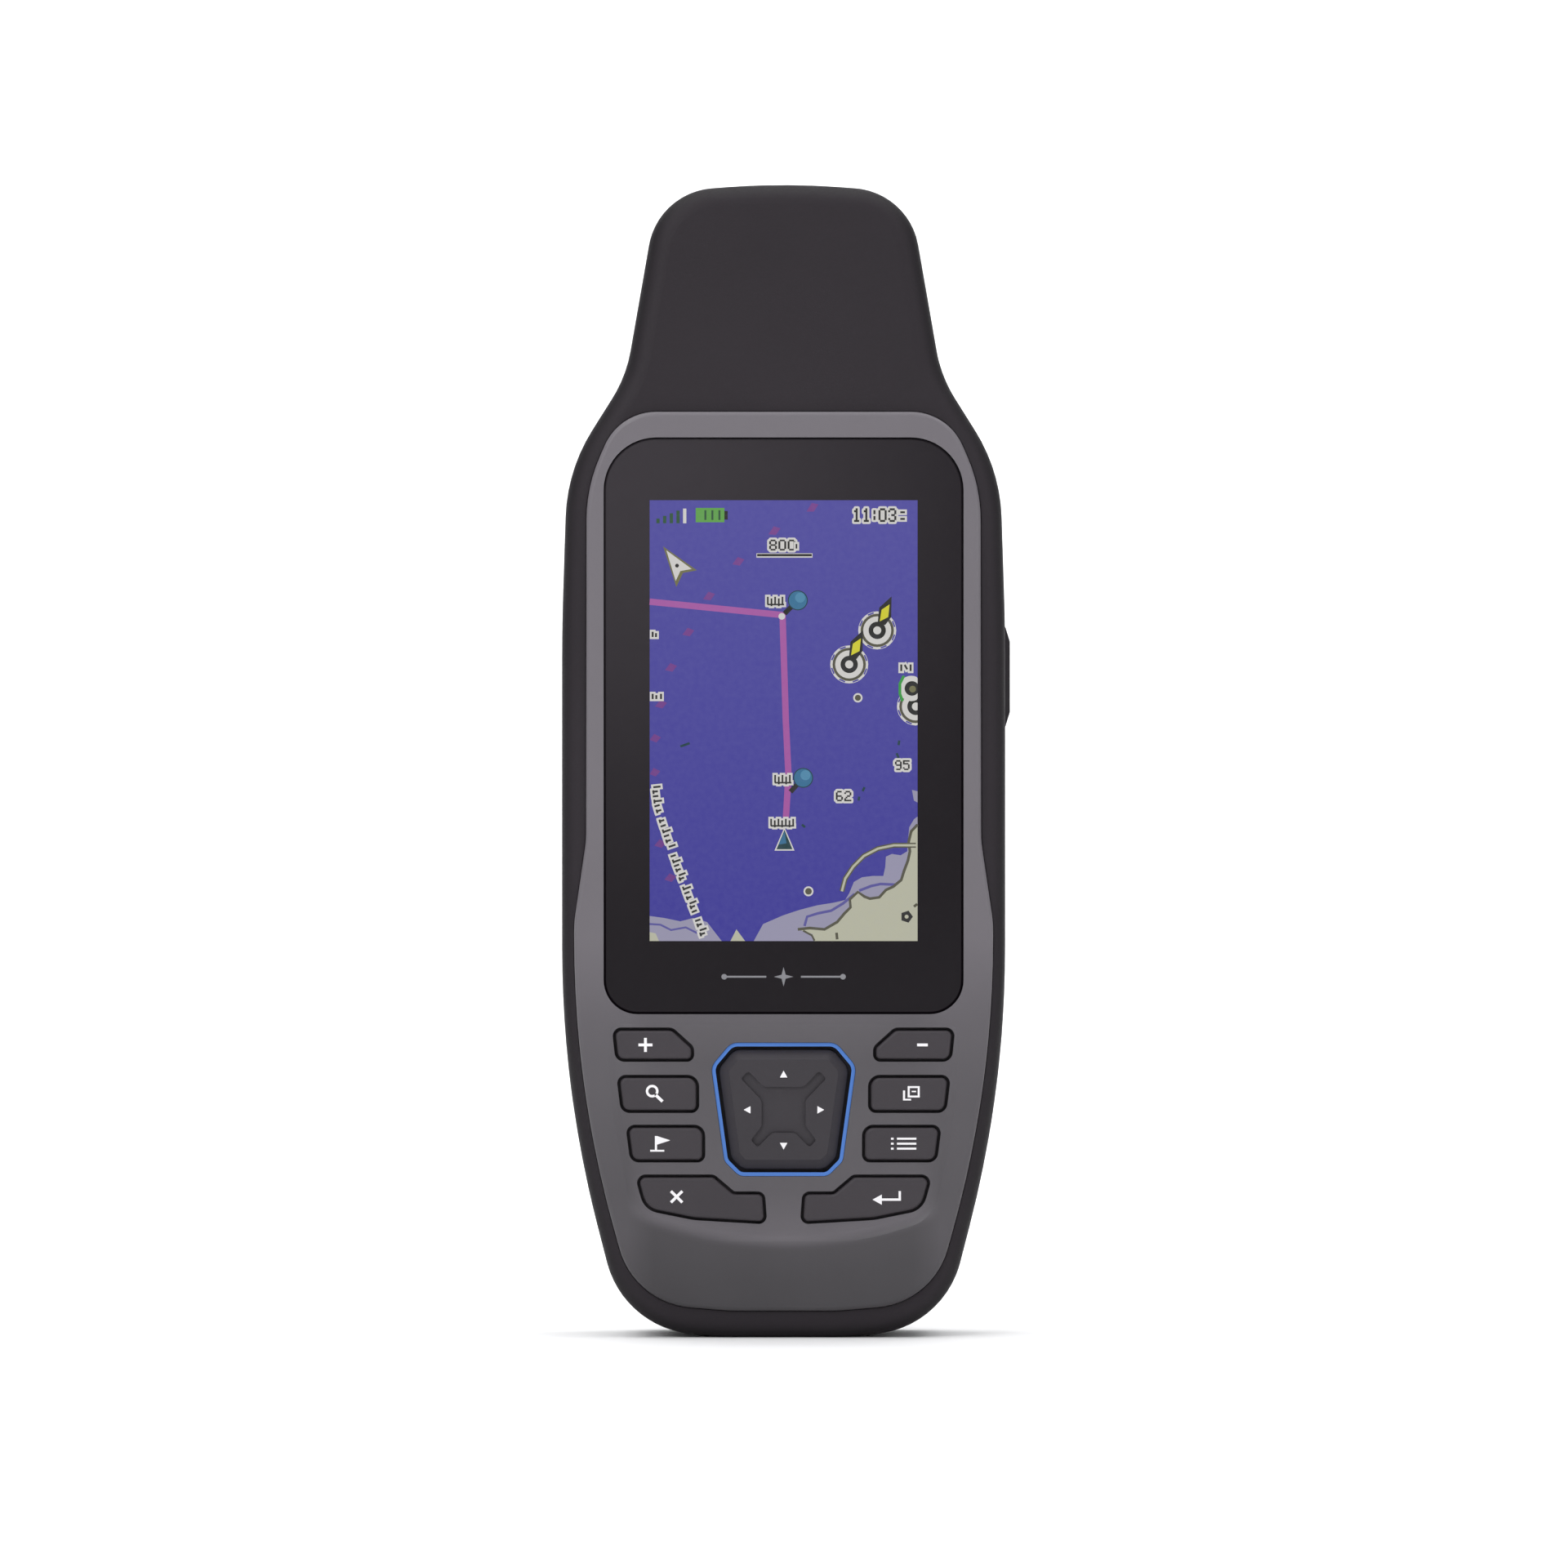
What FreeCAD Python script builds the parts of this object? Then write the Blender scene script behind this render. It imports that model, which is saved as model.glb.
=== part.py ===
"""Hand-held satellite navigator: a two-part waterproof case with an aerial hood, display, keypad,
four-way rocker, side power button, weather cap, and a battery door held by a D-ring latch.

The case stands upright. X runs to the right of the display, Y runs from the display to the back,
Z runs up, and the origin is at the middle of the flat foot. All sizes are in millimetres.
"""

import FreeCAD
import Part
import Sketcher
import math
import os
import re

V = FreeCAD.Vector

DIMENSIONS = {
    # case outline, seen from the front
    "half_width": 33.3,
    "crown_z": 173.8, "crown_radius": 115,
    "hood_corner_x": 18.9, "hood_corner_z": 172.4, "hood_corner_radius": 10.4,
    "neck_x": 23.7, "neck_z": 144.5, "neck_radius": 20,
    "shoulder_x": 32.55, "shoulder_z": 130.4, "shoulder_radius": 26,
    "flank_top_z": 107, "flank_top_radius": 300,
    "flank_low_z": 37.5, "flank_low_radius": 170,
    "heel_x": 24.1, "heel_z": 1.4, "heel_radius": 14.4,
    "foot_x": 9.0, "foot_radius": 50,
    # case profile, seen from the side
    "face_y": -16.5, "face_low_z": 42, "face_bend_radius": 115, "chin_y": -11.6,
    "hood_foot_z": 139.6, "hood_bend_radius": 25, "hood_front_y": -12.0,
    "back_y": 15.5, "back_top_z": 112, "back_top_radius": 120, "hood_back_y": 8.5,
    "back_low_z": 26, "back_low_radius": 90, "back_foot_y": 14.2,
    "front_round": 3.4, "back_round": 7.5,
    "wall": 2.0, "front_wall": 2.8, "seam_y": -2.0, "seam_half": 0.25, "seal_inset": 0.45,
    "above": 176, "below": -2, "before": -24, "behind": 24,
    # grey face plate
    "plate_proud": 0.9, "plate_seat": 1.2, "plate_gap": 0.1, "plate_round": 0.7,
    "plate_top_z": 139.1, "plate_top_x": 24.6, "plate_top_radius": 8.5,
    "plate_shoulder_x": 29.55, "plate_shoulder_z": 127.8, "plate_shoulder_radius": 24,
    "cheek_top_x": 29.62, "cheek_top_z": 74.8, "cheek_x": 31.4, "cheek_z": 62.6, "cheek_radius": 18,
    "plate_low_z": 37.9, "plate_low_radius": 165,
    "plate_heel_x": 22.4, "plate_heel_z": 5.3, "plate_heel_radius": 12,
    "plate_foot_x": 8, "plate_foot_z": 4.1,
    # keypad dish in the face plate
    "dish_depth": 0.65, "dish_sweep": 3.0, "dish_top_z": 49.6, "dish_fade_z": 48.2,
    # display
    "lens_half": 26.85, "lens_top_z": 135.1, "lens_low_z": 48.9,
    "lens_top_radius": 7.8, "lens_low_radius": 5.0, "lens_sunk": 0.2, "lens_thick": 1.5,
    "window_half": 23.4, "window_low_z": 56.4, "window_top_z": 130.2,
    "glass_half": 21.6, "glass_low_z": 57.8, "glass_top_z": 128.2,
    "glass_front_y": -15.3, "glass_back_y": -14.1, "light_back_y": -12.9, "tray_back_y": -12.3,
    # keys
    "key_gap": 0.45, "key_proud": 0.95, "key_round": 0.45, "key_lip": 0.35, "key_travel": 0.5,
    "lip_front": 1.3, "lip_back": 1.85, "mat_front": 1.25, "mat_back": 2.05, "mat_edge": 1.1,
    "mat_clearance": 0.15, "plunger_radius": 1.5,
    "key_board_front_y": -10.4, "key_board_back_y": -9.4, "dome_height": 0.45, "dome_radius": 2.0,
    # four-way rocker
    "ring_width": 0.55, "ring_proud": 0.2, "rocker_gap": 0.55, "rocker_proud": 1.25,
    "rocker_bevel": 1.4, "rocker_z": 34.6, "rocker_lip_front": 2.0, "rocker_lip_back": 2.5,
    "pivot_y": -12.25, "pivot_radius": 1.5, "pivot_half": 4.4, "socket_radius": 1.6,
    "arm_half": 2.3, "arm_near": 2.8, "arm_far": 4.2,
    "groove_depth": 0.5,
    # side power button
    "power_z": 99.4, "power_half_length": 7.6, "power_flat": 5.3, "power_root_x": 30.6, "power_y": -7.9,
    "power_half_depth": 3.0, "power_proud": 0.75, "power_gap": 0.25, "power_lip": 0.6,
    # boards
    "board_front_y": -6.6, "board_back_y": -5.4, "board_half": 21, "board_low_z": 16, "board_top_z": 131,
    "board_tab_half": 9, "board_tab_z": 141,
    # case screws
    "screw_seat_y": 7.0, "screw_head_radius": 2.3, "screw_head_height": 1.8, "screw_radius": 1.2,
    "screw_tip_y": -8.5, "screw_bore": 1.28, "boss_radius": 3.1, "counterbore": 2.6,
    # posts for the board screws
    "post_radius": 2.0, "post_foot_y": -13.9, "post_bore": 0.95,
    # battery bay
    "cell_radius": 7.2, "cell_x": 7.55, "cell_y": 5.8, "cell_low_z": 26, "cell_length": 49.2,
    "bay_half": 15.5, "bay_floor_y": -1.5, "bay_low_z": 22, "bay_top_z": 78.1, "bay_wall": 1.2,
    "door_half": 17.6, "door_low_z": 7.9, "door_top_z": 81, "door_radius": 5.5, "door_inner_y": 13.5,
    "door_gap": 0.25, "seal_thick": 0.75, "ledge_y": 12.7, "seal_inner": 15.9,
    # D-ring latch
    "latch_z": 16.0, "latch_head": 6.0, "latch_head_y": 14.3, "latch_top_y": 15.4, "latch_shank": 2.0,
    "latch_end_y": 8.0, "bar_half": 3.3, "bar_width": 1.2, "latch_boss_y": 9.6,
    "loop_y": 16.6, "loop_half": 7.2, "loop_wire": 0.9, "loop_leg": 5.2,
    "ear_inner": 3.3, "ear_outer": 5.6, "ear_half": 1.7,
    # rear rail for a clip or bracket
    "rail_low_z": 87, "rail_top_z": 125, "rail_neck": 4.6, "rail_head": 6.6, "rail_neck_y": 16.3,
    "rail_y": 17.5, "rail_foot_y": 13.6,
    # weather cap over the data socket
    "cap_x": -18.6, "cap_z": 101, "cap_half_x": 6.4, "cap_half_z": 5.0, "cap_thick": 1.5,
    "cap_gap": 0.2, "cap_hinge_y": 14.75, "cap_hinge_up": 5.8, "cap_barrel": 0.7, "cap_hinge_half": 4.3,
    "port_half_x": 3.85, "port_half_z": 2.2, "port_front_y": 7.4,
    # aerial
    "aerial_y": -1.4, "aerial_radius": 5.2, "aerial_low_z": 142.4, "aerial_height": 24,
}

doc = FreeCAD.newDocument("navigator")
sheet = doc.addObject("Spreadsheet::Sheet", "dims")
for row, (alias, value) in enumerate(DIMENSIONS.items(), 1):
    sheet.set(f"A{row}", alias)
    sheet.set(f"B{row}", str(value))
    sheet.setAlias(f"B{row}", alias)
doc.recompute()

ALIAS = re.compile(r"[a-z][a-z0-9_]*")
AXIS_SIGN = {"XY": 1, "YZ": 1, "XZ": -1}
parts = []


# ---------------------------------------------------------------- expressions and sketches

def bound(text):
    """The expression with each alias written as a cell of the sheet."""
    return ALIAS.sub(lambda m: "dims." + m.group() if m.group() in DIMENSIONS else m.group(), str(text))


def number(text):
    """The value of an expression, as FreeCAD works it out."""
    return float(sheet.evalExpression(bound(text)))


def bind(target, prop, text):
    """Sets a property to an expression of the sheet's cells, or to a plain number."""
    if bound(text) != str(text):
        target.setExpression(prop, bound(text))


def mirrored(half):
    """A whole outline from its right half, listed from the top down."""
    left = [(f"-({u})", v, radius) for u, v, radius in reversed(half) if str(u) != "0"]
    return half + left


def flipped(corners):
    """The same outline on the other side of the middle plane."""
    return [(f"-({u})", v, radius) for u, v, radius in corners]


def grown(corners, amount):
    """The outline moved outwards by an amount, or inwards by a negative one."""
    points = [V(number(u), number(v), 0) for u, v, _ in corners]
    count = len(points)
    area = sum(p.x * q.y - q.x * p.y for p, q in zip(points, points[1:] + points[:1]))
    side = 1 if area > 0 else -1
    moved = []
    for i, (u, v, radius) in enumerate(corners):
        before = (points[i] - points[i - 1]).normalize()
        after = (points[(i + 1) % count] - points[i]).normalize()
        outward = V(before.y + after.y, -before.x - after.x, 0) * side
        mitre = outward * (2 / outward.Length ** 2)
        turn = (before.x * after.y - before.y * after.x) * side
        change = "+" if turn > 0 else "-"
        rounded = radius if str(radius) == "0" else f"({radius}) {change} ({amount})"
        moved.append((f"({u}) + {mitre.x:.5f} * ({amount})", f"({v}) + {mitre.y:.5f} * ({amount})", rounded))
    return moved


def rectangle(u0, u1, v0, v1, radius="0"):
    return [(u0, v0, radius), (u1, v0, radius), (u1, v1, radius), (u0, v1, radius)]


def circle(u, v, radius):
    return ("circle", u, v, radius)


def draw_circle(sketch, u, v, radius):
    """A circle held by its centre and radius."""
    centre = V(number(u), number(v), 0)
    index = sketch.addGeometry(Part.Circle(centre, V(0, 0, 1), number(radius)), False)
    held = [(("DistanceX", index, 3), centre.x, u), (("DistanceY", index, 3), centre.y, v),
            (("Radius", index), number(radius), radius)]
    hold(sketch, held)


def hold(sketch, held):
    """Adds dimension constraints and binds each one to its expression."""
    first = sketch.ConstraintCount
    sketch.addConstraint([Sketcher.Constraint(*what, value) for what, value, _ in held])
    for offset, (_, _, text) in enumerate(held):
        bind(sketch, f"Constraints[{first + offset}]", text)


def draw_outline(sketch, corners):
    """A closed outline of straight sides, each corner rounded to its own radius."""
    points = [V(number(u), number(v), 0) for u, v, _ in corners]
    radii = [number(radius) for _, _, radius in corners]
    count = len(points)
    arrive, leave, centres = [], [], []
    for i, point in enumerate(points):
        back = (points[i - 1] - point).normalize()
        ahead = (points[(i + 1) % count] - point).normalize()
        half_angle = back.getAngle(ahead) / 2
        reach = radii[i] / math.tan(half_angle) if radii[i] > 0 else 0
        arrive.append(point + back * reach)
        leave.append(point + ahead * reach)
        centres.append(point + (back + ahead).normalize() * (radii[i] / math.sin(half_angle)))
    for i in range(count):
        side = points[(i + 1) % count] - points[i]
        if (arrive[(i + 1) % count] - leave[i]).dot(side) <= 0:
            raise ValueError(f"{sketch.Name}: side {i} is too short for its two corner radii")
    first = sketch.GeometryCount
    sketch.addGeometry([Part.LineSegment(leave[i], arrive[(i + 1) % count]) for i in range(count)], False)
    joints, held = [], []
    for i, point in enumerate(points):
        side_in, side_out = first + (i - 1) % count, first + i
        u, v, radius = corners[i]
        if radii[i] > 0:
            start = math.atan2(arrive[i].y - centres[i].y, arrive[i].x - centres[i].x)
            end = math.atan2(leave[i].y - centres[i].y, leave[i].x - centres[i].x)
            turn = (point - points[i - 1]).cross(points[(i + 1) % count] - point).z
            ends = (1, 2) if turn > 0 else (2, 1)
            if turn < 0:
                start, end = end, start
            if end < start:
                end += 2 * math.pi
            bend = Part.Circle(centres[i], V(0, 0, 1), radii[i])
            arc = sketch.addGeometry(Part.ArcOfCircle(bend, start, end), False)
            corner = sketch.addGeometry(Part.Point(point), True)
            joints += [Sketcher.Constraint("Tangent", side_in, 2, arc, ends[0]),
                       Sketcher.Constraint("Tangent", side_out, 1, arc, ends[1]),
                       Sketcher.Constraint("PointOnObject", corner, 1, side_in),
                       Sketcher.Constraint("PointOnObject", corner, 1, side_out)]
            held.append((("Radius", arc), radii[i], radius))
            place = corner
        else:
            joints.append(Sketcher.Constraint("Coincident", side_in, 2, side_out, 1))
            place = side_out
        held += [(("DistanceX", place, 1), point.x, u), (("DistanceY", place, 1), point.y, v)]
    sketch.addConstraint(joints)
    hold(sketch, held)


def draw(sketch, loops):
    for loop in loops:
        if loop[0] == "circle":
            draw_circle(sketch, *loop[1:])
        else:
            draw_outline(sketch, loop)


# ---------------------------------------------------------------- bodies and features

def new_body(name):
    return doc.addObject("PartDesign::Body", name)


def sketch_in(body, plane, loops, offset):
    """A sketch on one of the body's own origin planes, moved along that plane's normal."""
    sketch = body.newObject("Sketcher::SketchObject", body.Name + "_sketch")
    origin_plane = next(f for f in body.Origin.OriginFeatures if f.Role == plane + "_Plane")
    sketch.AttachmentSupport = [(origin_plane, "")]
    sketch.MapMode = "FlatFace"
    sketch.AttachmentOffset = FreeCAD.Placement(V(0, 0, number(offset)), FreeCAD.Rotation())
    bind(sketch, "AttachmentOffset.Base.z", offset)
    doc.recompute([sketch])
    draw(sketch, loops)
    return sketch


def length_between(feature, start, end):
    feature.Length = number(f"({end}) - ({start})")
    bind(feature, "Length", f"({end}) - ({start})")


def pad(body, plane, loops, start, end):
    """Adds material between two places along the plane's own axis."""
    offset = start if AXIS_SIGN[plane] > 0 else f"-({end})"
    sketch = sketch_in(body, plane, loops, offset)
    feature = body.newObject("PartDesign::Pad", body.Name + "_pad")
    feature.Profile = sketch
    length_between(feature, start, end)
    settle(body)
    return feature


def pocket(body, plane, loops, start, end):
    """Removes material between two places along the plane's own axis."""
    offset = end if AXIS_SIGN[plane] > 0 else f"-({start})"
    before = body.Shape.Volume
    sketch = sketch_in(body, plane, loops, offset)
    feature = body.newObject("PartDesign::Pocket", body.Name + "_pocket")
    feature.Profile = sketch
    length_between(feature, start, end)
    settle(body)
    if body.Shape.Volume >= before - 1e-6:
        raise ValueError(f"{body.Name}: the pocket removes nothing")
    return feature


def settle(body):
    """Works the body out and stops at the first failed feature."""
    doc.recompute()
    if body.Shape.isNull() or not body.Shape.isValid() or "Invalid" in body.Tip.State:
        raise ValueError(f"{body.Name}: {body.Tip.Name} failed")


def normal_beside(face, edge):
    """The face's outward direction at the middle of one of its edges."""
    middle = edge.valueAt((edge.FirstParameter + edge.LastParameter) / 2)
    return face.normalAt(*face.Surface.parameter(middle))


def rim_edges(shape, facing, inside=None):
    """Edges where a face that looks one way meets a face that stands across it."""
    found = []
    for index, edge in enumerate(shape.Edges, 1):
        if inside and not inside(edge.BoundBox.Center):
            continue
        faces = shape.ancestorsOfType(edge, Part.Face)
        if len(faces) != 2:
            continue
        looks = sorted(normal_beside(face, edge).dot(facing) for face in faces)
        if looks[1] > 0.75 and abs(looks[0]) < 0.35:
            found.append(f"Edge{index}")
    return found


def soften(body, kind, facing, size, inside=None):
    """Rounds or bevels the edges of the faces that look one way."""
    base = body.Tip
    edges = rim_edges(base.Shape, facing, inside)
    if not edges:
        raise ValueError(f"{body.Name}: no edges to soften")
    feature = body.newObject("PartDesign::" + kind, f"{body.Name}_{kind.lower()}")
    feature.Base = (base, edges)
    name = "Radius" if kind == "Fillet" else "Size"
    setattr(feature, name, number(size))
    bind(feature, name, size)
    settle(body)
    return feature


def prism(name, plane, loops, start, end):
    body = new_body(name)
    pad(body, plane, loops, start, end)
    return body


def combine(kind, name, shapes):
    """A boolean of the Part workbench: Part::Cut, Part::MultiFuse or Part::MultiCommon."""
    feature = doc.addObject(kind, name)
    if kind == "Part::Cut":
        feature.Base, feature.Tool = shapes
    else:
        feature.Shapes = shapes
    feature.Refine = False
    doc.recompute()
    if feature.Shape.isNull() or not feature.Shape.isValid():
        raise ValueError(f"{name} failed")
    return feature


def carve(name, body, tools):
    """Cuts tools out of a body one after another."""
    for i, tool in enumerate(tools):
        body = combine("Part::Cut", f"{name}{i}", (body, tool))
    return body


def group(name, members):
    """Separate solids that share one node."""
    feature = doc.addObject("Part::Compound", name)
    feature.Links = members
    doc.recompute()
    return feature


def round_bar(name, radius, start, end, direction="Y", at=("0", "0", "0")):
    """A cylinder between two places along an axis; at gives the place across it."""
    bar = doc.addObject("Part::Cylinder", name)
    bar.Radius = number(radius)
    bind(bar, "Radius", radius)
    bar.Height = number(f"({end}) - ({start})")
    bind(bar, "Height", f"({end}) - ({start})")
    turn = {"X": FreeCAD.Rotation(V(0, 1, 0), 90), "Y": FreeCAD.Rotation(V(1, 0, 0), -90),
            "Z": FreeCAD.Rotation()}[direction]
    place = [start if letter == direction else text for letter, text in zip("XYZ", at)]
    bar.Placement = FreeCAD.Placement(V(*[number(text) for text in place]), turn)
    for letter, text in zip("xyz", place):
        bind(bar, f"Placement.Base.{letter}", text)
    return bar


def deliver(feature, node):
    """Marks a finished sub-part; its label is the name of its file."""
    feature.Label = node
    parts.append(feature)
    return feature


# ---------------------------------------------------------------- shared outlines

CASE = mirrored([
    ("0", "crown_z", "crown_radius"),
    ("hood_corner_x", "hood_corner_z", "hood_corner_radius"),
    ("neck_x", "neck_z", "neck_radius"),
    ("shoulder_x", "shoulder_z", "shoulder_radius"),
    ("half_width", "flank_top_z", "flank_top_radius"),
    ("half_width", "flank_low_z", "flank_low_radius"),
    ("heel_x", "heel_z", "heel_radius"),
    ("foot_x", "0", "foot_radius"),
])

PLATE = mirrored([
    ("plate_top_x", "plate_top_z", "plate_top_radius"),
    ("plate_shoulder_x", "plate_shoulder_z", "plate_shoulder_radius"),
    ("cheek_top_x", "cheek_top_z", "cheek_radius"),
    ("cheek_x", "cheek_z", "cheek_radius"),
    ("cheek_x", "plate_low_z", "plate_low_radius"),
    ("plate_heel_x", "plate_heel_z", "plate_heel_radius"),
    ("plate_foot_x", "plate_foot_z", "20"),
])

LENS = [("lens_half", "lens_top_z", "lens_top_radius"), ("lens_half", "lens_low_z", "lens_low_radius"),
        ("-lens_half", "lens_low_z", "lens_low_radius"), ("-lens_half", "lens_top_z", "lens_top_radius")]
WINDOW = rectangle("-window_half", "window_half", "window_low_z", "window_top_z", "1.5")

DISH = mirrored([
    ("28.4", "dish_top_z", "3.5"),
    ("27.6", "34", "60"),
    ("23.8", "16.5", "7.5"),
    ("12", "12.9", "30"),
])
KEYPAD = mirrored([
    ("27.5", "47.9", "2.2"),
    ("26.7", "34", "60"),
    ("23.1", "17.2", "7.5"),
    ("12", "13.8", "30"),
])

ROCKER = mirrored([
    ("7.87", "44.5", "2.2"),
    ("10.85", "40.95", "2.2"),
    ("8.88", "26.7", "1.8"),
    ("6.64", "24.45", "1.8"),
])

# Right-hand key holes; the left-hand ones are the same shapes on the other side.
ZOOM_KEY = [("25.75", "46.8", "1.3"), ("25.2", "41.65", "1.5"), ("13.4", "41.65", "1.1"),
            ("13.4", "43.9", "1.4"), ("16.6", "46.8", "1.6")]
UPPER_KEY = [("25.1", "39.7", "1.3"), ("24.4", "33.95", "1.5"), ("12.65", "33.95", "1.2"),
             ("12.65", "39.7", "1.8")]
LOWER_KEY = [("23.75", "32.2", "1.3"), ("23.0", "26.5", "1.5"), ("11.75", "26.5", "1.2"),
             ("11.75", "32.2", "1.7")]
CORNER_KEY = [("22.4", "24.7", "1.3"), ("20.9", "19.3", "3.2"), ("13.5", "17.8", "10"),
              ("2.45", "17.15", "1.2"), ("2.8", "22.15", "1.2"), ("7.4", "22.15", "0.8"),
              ("10.4", "24.7", "1.3")]
KEYS = {
    "key_zoom_out": (ZOOM_KEY, "19.6", "44.2"),
    "key_page": (UPPER_KEY, "18.8", "36.8"),
    "key_menu": (LOWER_KEY, "17.6", "29.4"),
    "key_enter": (CORNER_KEY, "14.4", "21.4"),
    "key_zoom_in": (flipped(ZOOM_KEY), "-19.6", "44.2"),
    "key_find": (flipped(UPPER_KEY), "-18.8", "36.8"),
    "key_mark": (flipped(LOWER_KEY), "-17.6", "29.4"),
    "key_quit": (flipped(CORNER_KEY), "-14.4", "21.4"),
}


def ahead_of_face(shift):
    """Side view of everything in front of the face, which is moved back by a shift."""
    return [("before", "below", "0"), (f"chin_y + {shift}", "below", "0"),
            (f"face_y + {shift}", "face_low_z", "face_bend_radius"),
            (f"face_y + {shift}", "hood_foot_z", "hood_bend_radius"),
            (f"hood_front_y + {shift}", "above", "0"), ("before", "above", "0")]


def behind_face(shift):
    """Side view of everything behind the face, which is moved back by a shift."""
    return [("behind", "below", "0")] + ahead_of_face(shift)[1:5] + [("behind", "above", "0")]


def behind_back(shift):
    """Side view of everything behind the back, which is moved forward by a shift."""
    return [("behind", "below", "0"), (f"back_foot_y - {shift}", "below", "0"),
            (f"back_y - {shift}", "back_low_z", "back_low_radius"),
            (f"back_y - {shift}", "back_top_z", "back_top_radius"),
            (f"hood_back_y - {shift}", "above", "0"), ("behind", "above", "0")]


def trim(body, corners):
    """Cuts a side-view outline right through the body."""
    pocket(body, "YZ", [corners], "-half_width - 3", "half_width + 3")


# ---------------------------------------------------------------- case shells

def case_solid(name, inset, front_shift, rounding_loss):
    """The rounded case body, or the space inside it when it is inset."""
    outline = CASE if inset == "0" else grown(CASE, f"-({inset})")
    body = prism(name, "XZ", [outline], "before + 2", "behind - 2")
    trim(body, ahead_of_face(front_shift))
    trim(body, behind_back(inset))
    soften(body, "Fillet", V(0, -1, 0), f"front_round - {rounding_loss}")
    soften(body, "Fillet", V(0, 1, 0), f"back_round - {inset}")
    return body


def slab(name, start, end):
    """Everything between two planes that stand across Y."""
    return prism(name, "XZ", [rectangle("-half_width - 4", "half_width + 4", "below", "above")], start, end)


outer = case_solid("outer", "0", "0", "0")
inner = case_solid("inner", "wall", "front_wall", "1.6")
hollow = combine("Part::Cut", "hollow", (outer, inner))

# Place across, height, and the front end of the boss that takes the screw.
SCREWS = [(side + x, z, front) for x, z, front in (("26.4", "124.5", "-14.2"), ("27.2", "84", "-14.2"),
                                                   ("21.5", "13", "-11.6")) for side in ("-", "")]
BOARD_POSTS = [("-24.6", "110"), ("24.6", "110"), ("-18.2", "52.4"), ("18.2", "52.4")]
KEY_BOARD_POSTS = [("-11", "50.6"), ("11", "50.6")]

ahead_of_seam = slab("ahead_of_seam", "before", "seam_y - seam_half")
front_half = combine("Part::MultiCommon", "front_half", [hollow, ahead_of_seam])
front_bosses = [round_bar(f"front_boss{i}", "boss_radius", start, "seam_y - seam_half", at=(x, "0", z))
                for i, (x, z, start) in enumerate(SCREWS)]
board_posts = [round_bar(f"board_post{i}", "post_radius", "post_foot_y", "board_front_y", at=(x, "0", z))
               for i, (x, z) in enumerate(BOARD_POSTS)]
board_posts += [round_bar(f"key_board_post{i}", "post_radius", "post_foot_y", "key_board_front_y",
                          at=(x, "0", z)) for i, (x, z) in enumerate(KEY_BOARD_POSTS)]
front_bulk = combine("Part::MultiFuse", "front_bulk", [front_half] + front_bosses + board_posts)

plate_room = prism("plate_room", "XZ", [grown(PLATE, "plate_gap")], "before", "0")
trim(plate_room, behind_face("plate_seat"))
front_cuts = [
    plate_room,
    prism("window_room", "XZ", [WINDOW], "before", "-10"),
    prism("keypad_room", "XZ", [KEYPAD], "before", "-9"),
    prism("power_room", "XZ", [rectangle("29", "half_width + 3", "power_z - power_half_length - power_gap",
                                         "power_z + power_half_length + power_gap")],
          "power_y - power_half_depth - power_gap", "power_y + power_half_depth + power_gap"),
]
front_cuts += [round_bar(f"front_bore{i}", "screw_bore", "screw_tip_y - 0.4", "0", at=(x, "0", z))
               for i, (x, z, _) in enumerate(SCREWS)]
front_cuts += [round_bar(f"post_bore{i}", "post_bore", "-13.2", "board_back_y", at=(x, "0", z))
               for i, (x, z) in enumerate(BOARD_POSTS + KEY_BOARD_POSTS)]
deliver(carve("front_case", front_bulk, front_cuts), "front_shell")

# rear half: battery bay, latch block, socket block, bracket rail
DOOR = rectangle("-door_half", "door_half", "door_low_z", "door_top_z", "door_radius")
BAY = rectangle("-bay_half", "bay_half", "bay_low_z", "bay_top_z", "2.2")
behind_seam = slab("behind_seam", "seam_y + seam_half", "behind")
rear_half = combine("Part::MultiCommon", "rear_half", [hollow, behind_seam])
rear_bosses = [round_bar(f"rear_boss{i}", "boss_radius", "seam_y + seam_half", "12.4", at=(x, "0", z))
               for i, (x, z, _) in enumerate(SCREWS)]
rail = prism("rail", "XZ", [rectangle("-rail_neck", "rail_neck", "rail_low_z", "rail_top_z", "1")],
             "rail_foot_y", "rail_neck_y")
pad(rail, "XZ", [rectangle("-rail_head", "rail_head", "rail_low_z", "rail_top_z", "1")],
    "rail_neck_y", "rail_y")
soften(rail, "Chamfer", V(0, 1, 0), "0.35", lambda centre: centre.y > number("rail_y") - 0.1)
rear_blocks = combine("Part::MultiFuse", "rear_blocks", rear_bosses + [
    prism("bay_block", "XZ", [grown(BAY, "bay_wall")], "bay_floor_y - bay_wall", "13.8"),
    prism("ledge_block", "XZ", [grown(DOOR, "1.4")], "10.9", "13.8"),
    prism("latch_block", "XZ", [rectangle("-12", "12", "door_low_z - 1", "bay_low_z", "1")],
          "latch_boss_y", "13.8"),
    prism("socket_block", "XZ", [rectangle("cap_x - cap_half_x - 1.8", "cap_x + cap_half_x + 1.8",
                                           "cap_z - cap_half_z - 1.8", "cap_z + cap_half_z + 2.8", "1.5")],
          "11.6", "13.8"),
])
rear_blocks_inside = combine("Part::MultiCommon", "rear_blocks_inside", [rear_blocks, outer])
rear_bulk = combine("Part::MultiFuse", "rear_bulk", [rear_half, rear_blocks_inside, rail])
CAP = rectangle("cap_x - cap_half_x", "cap_x + cap_half_x", "cap_z - cap_half_z", "cap_z + cap_half_z",
                "1.6")
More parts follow.
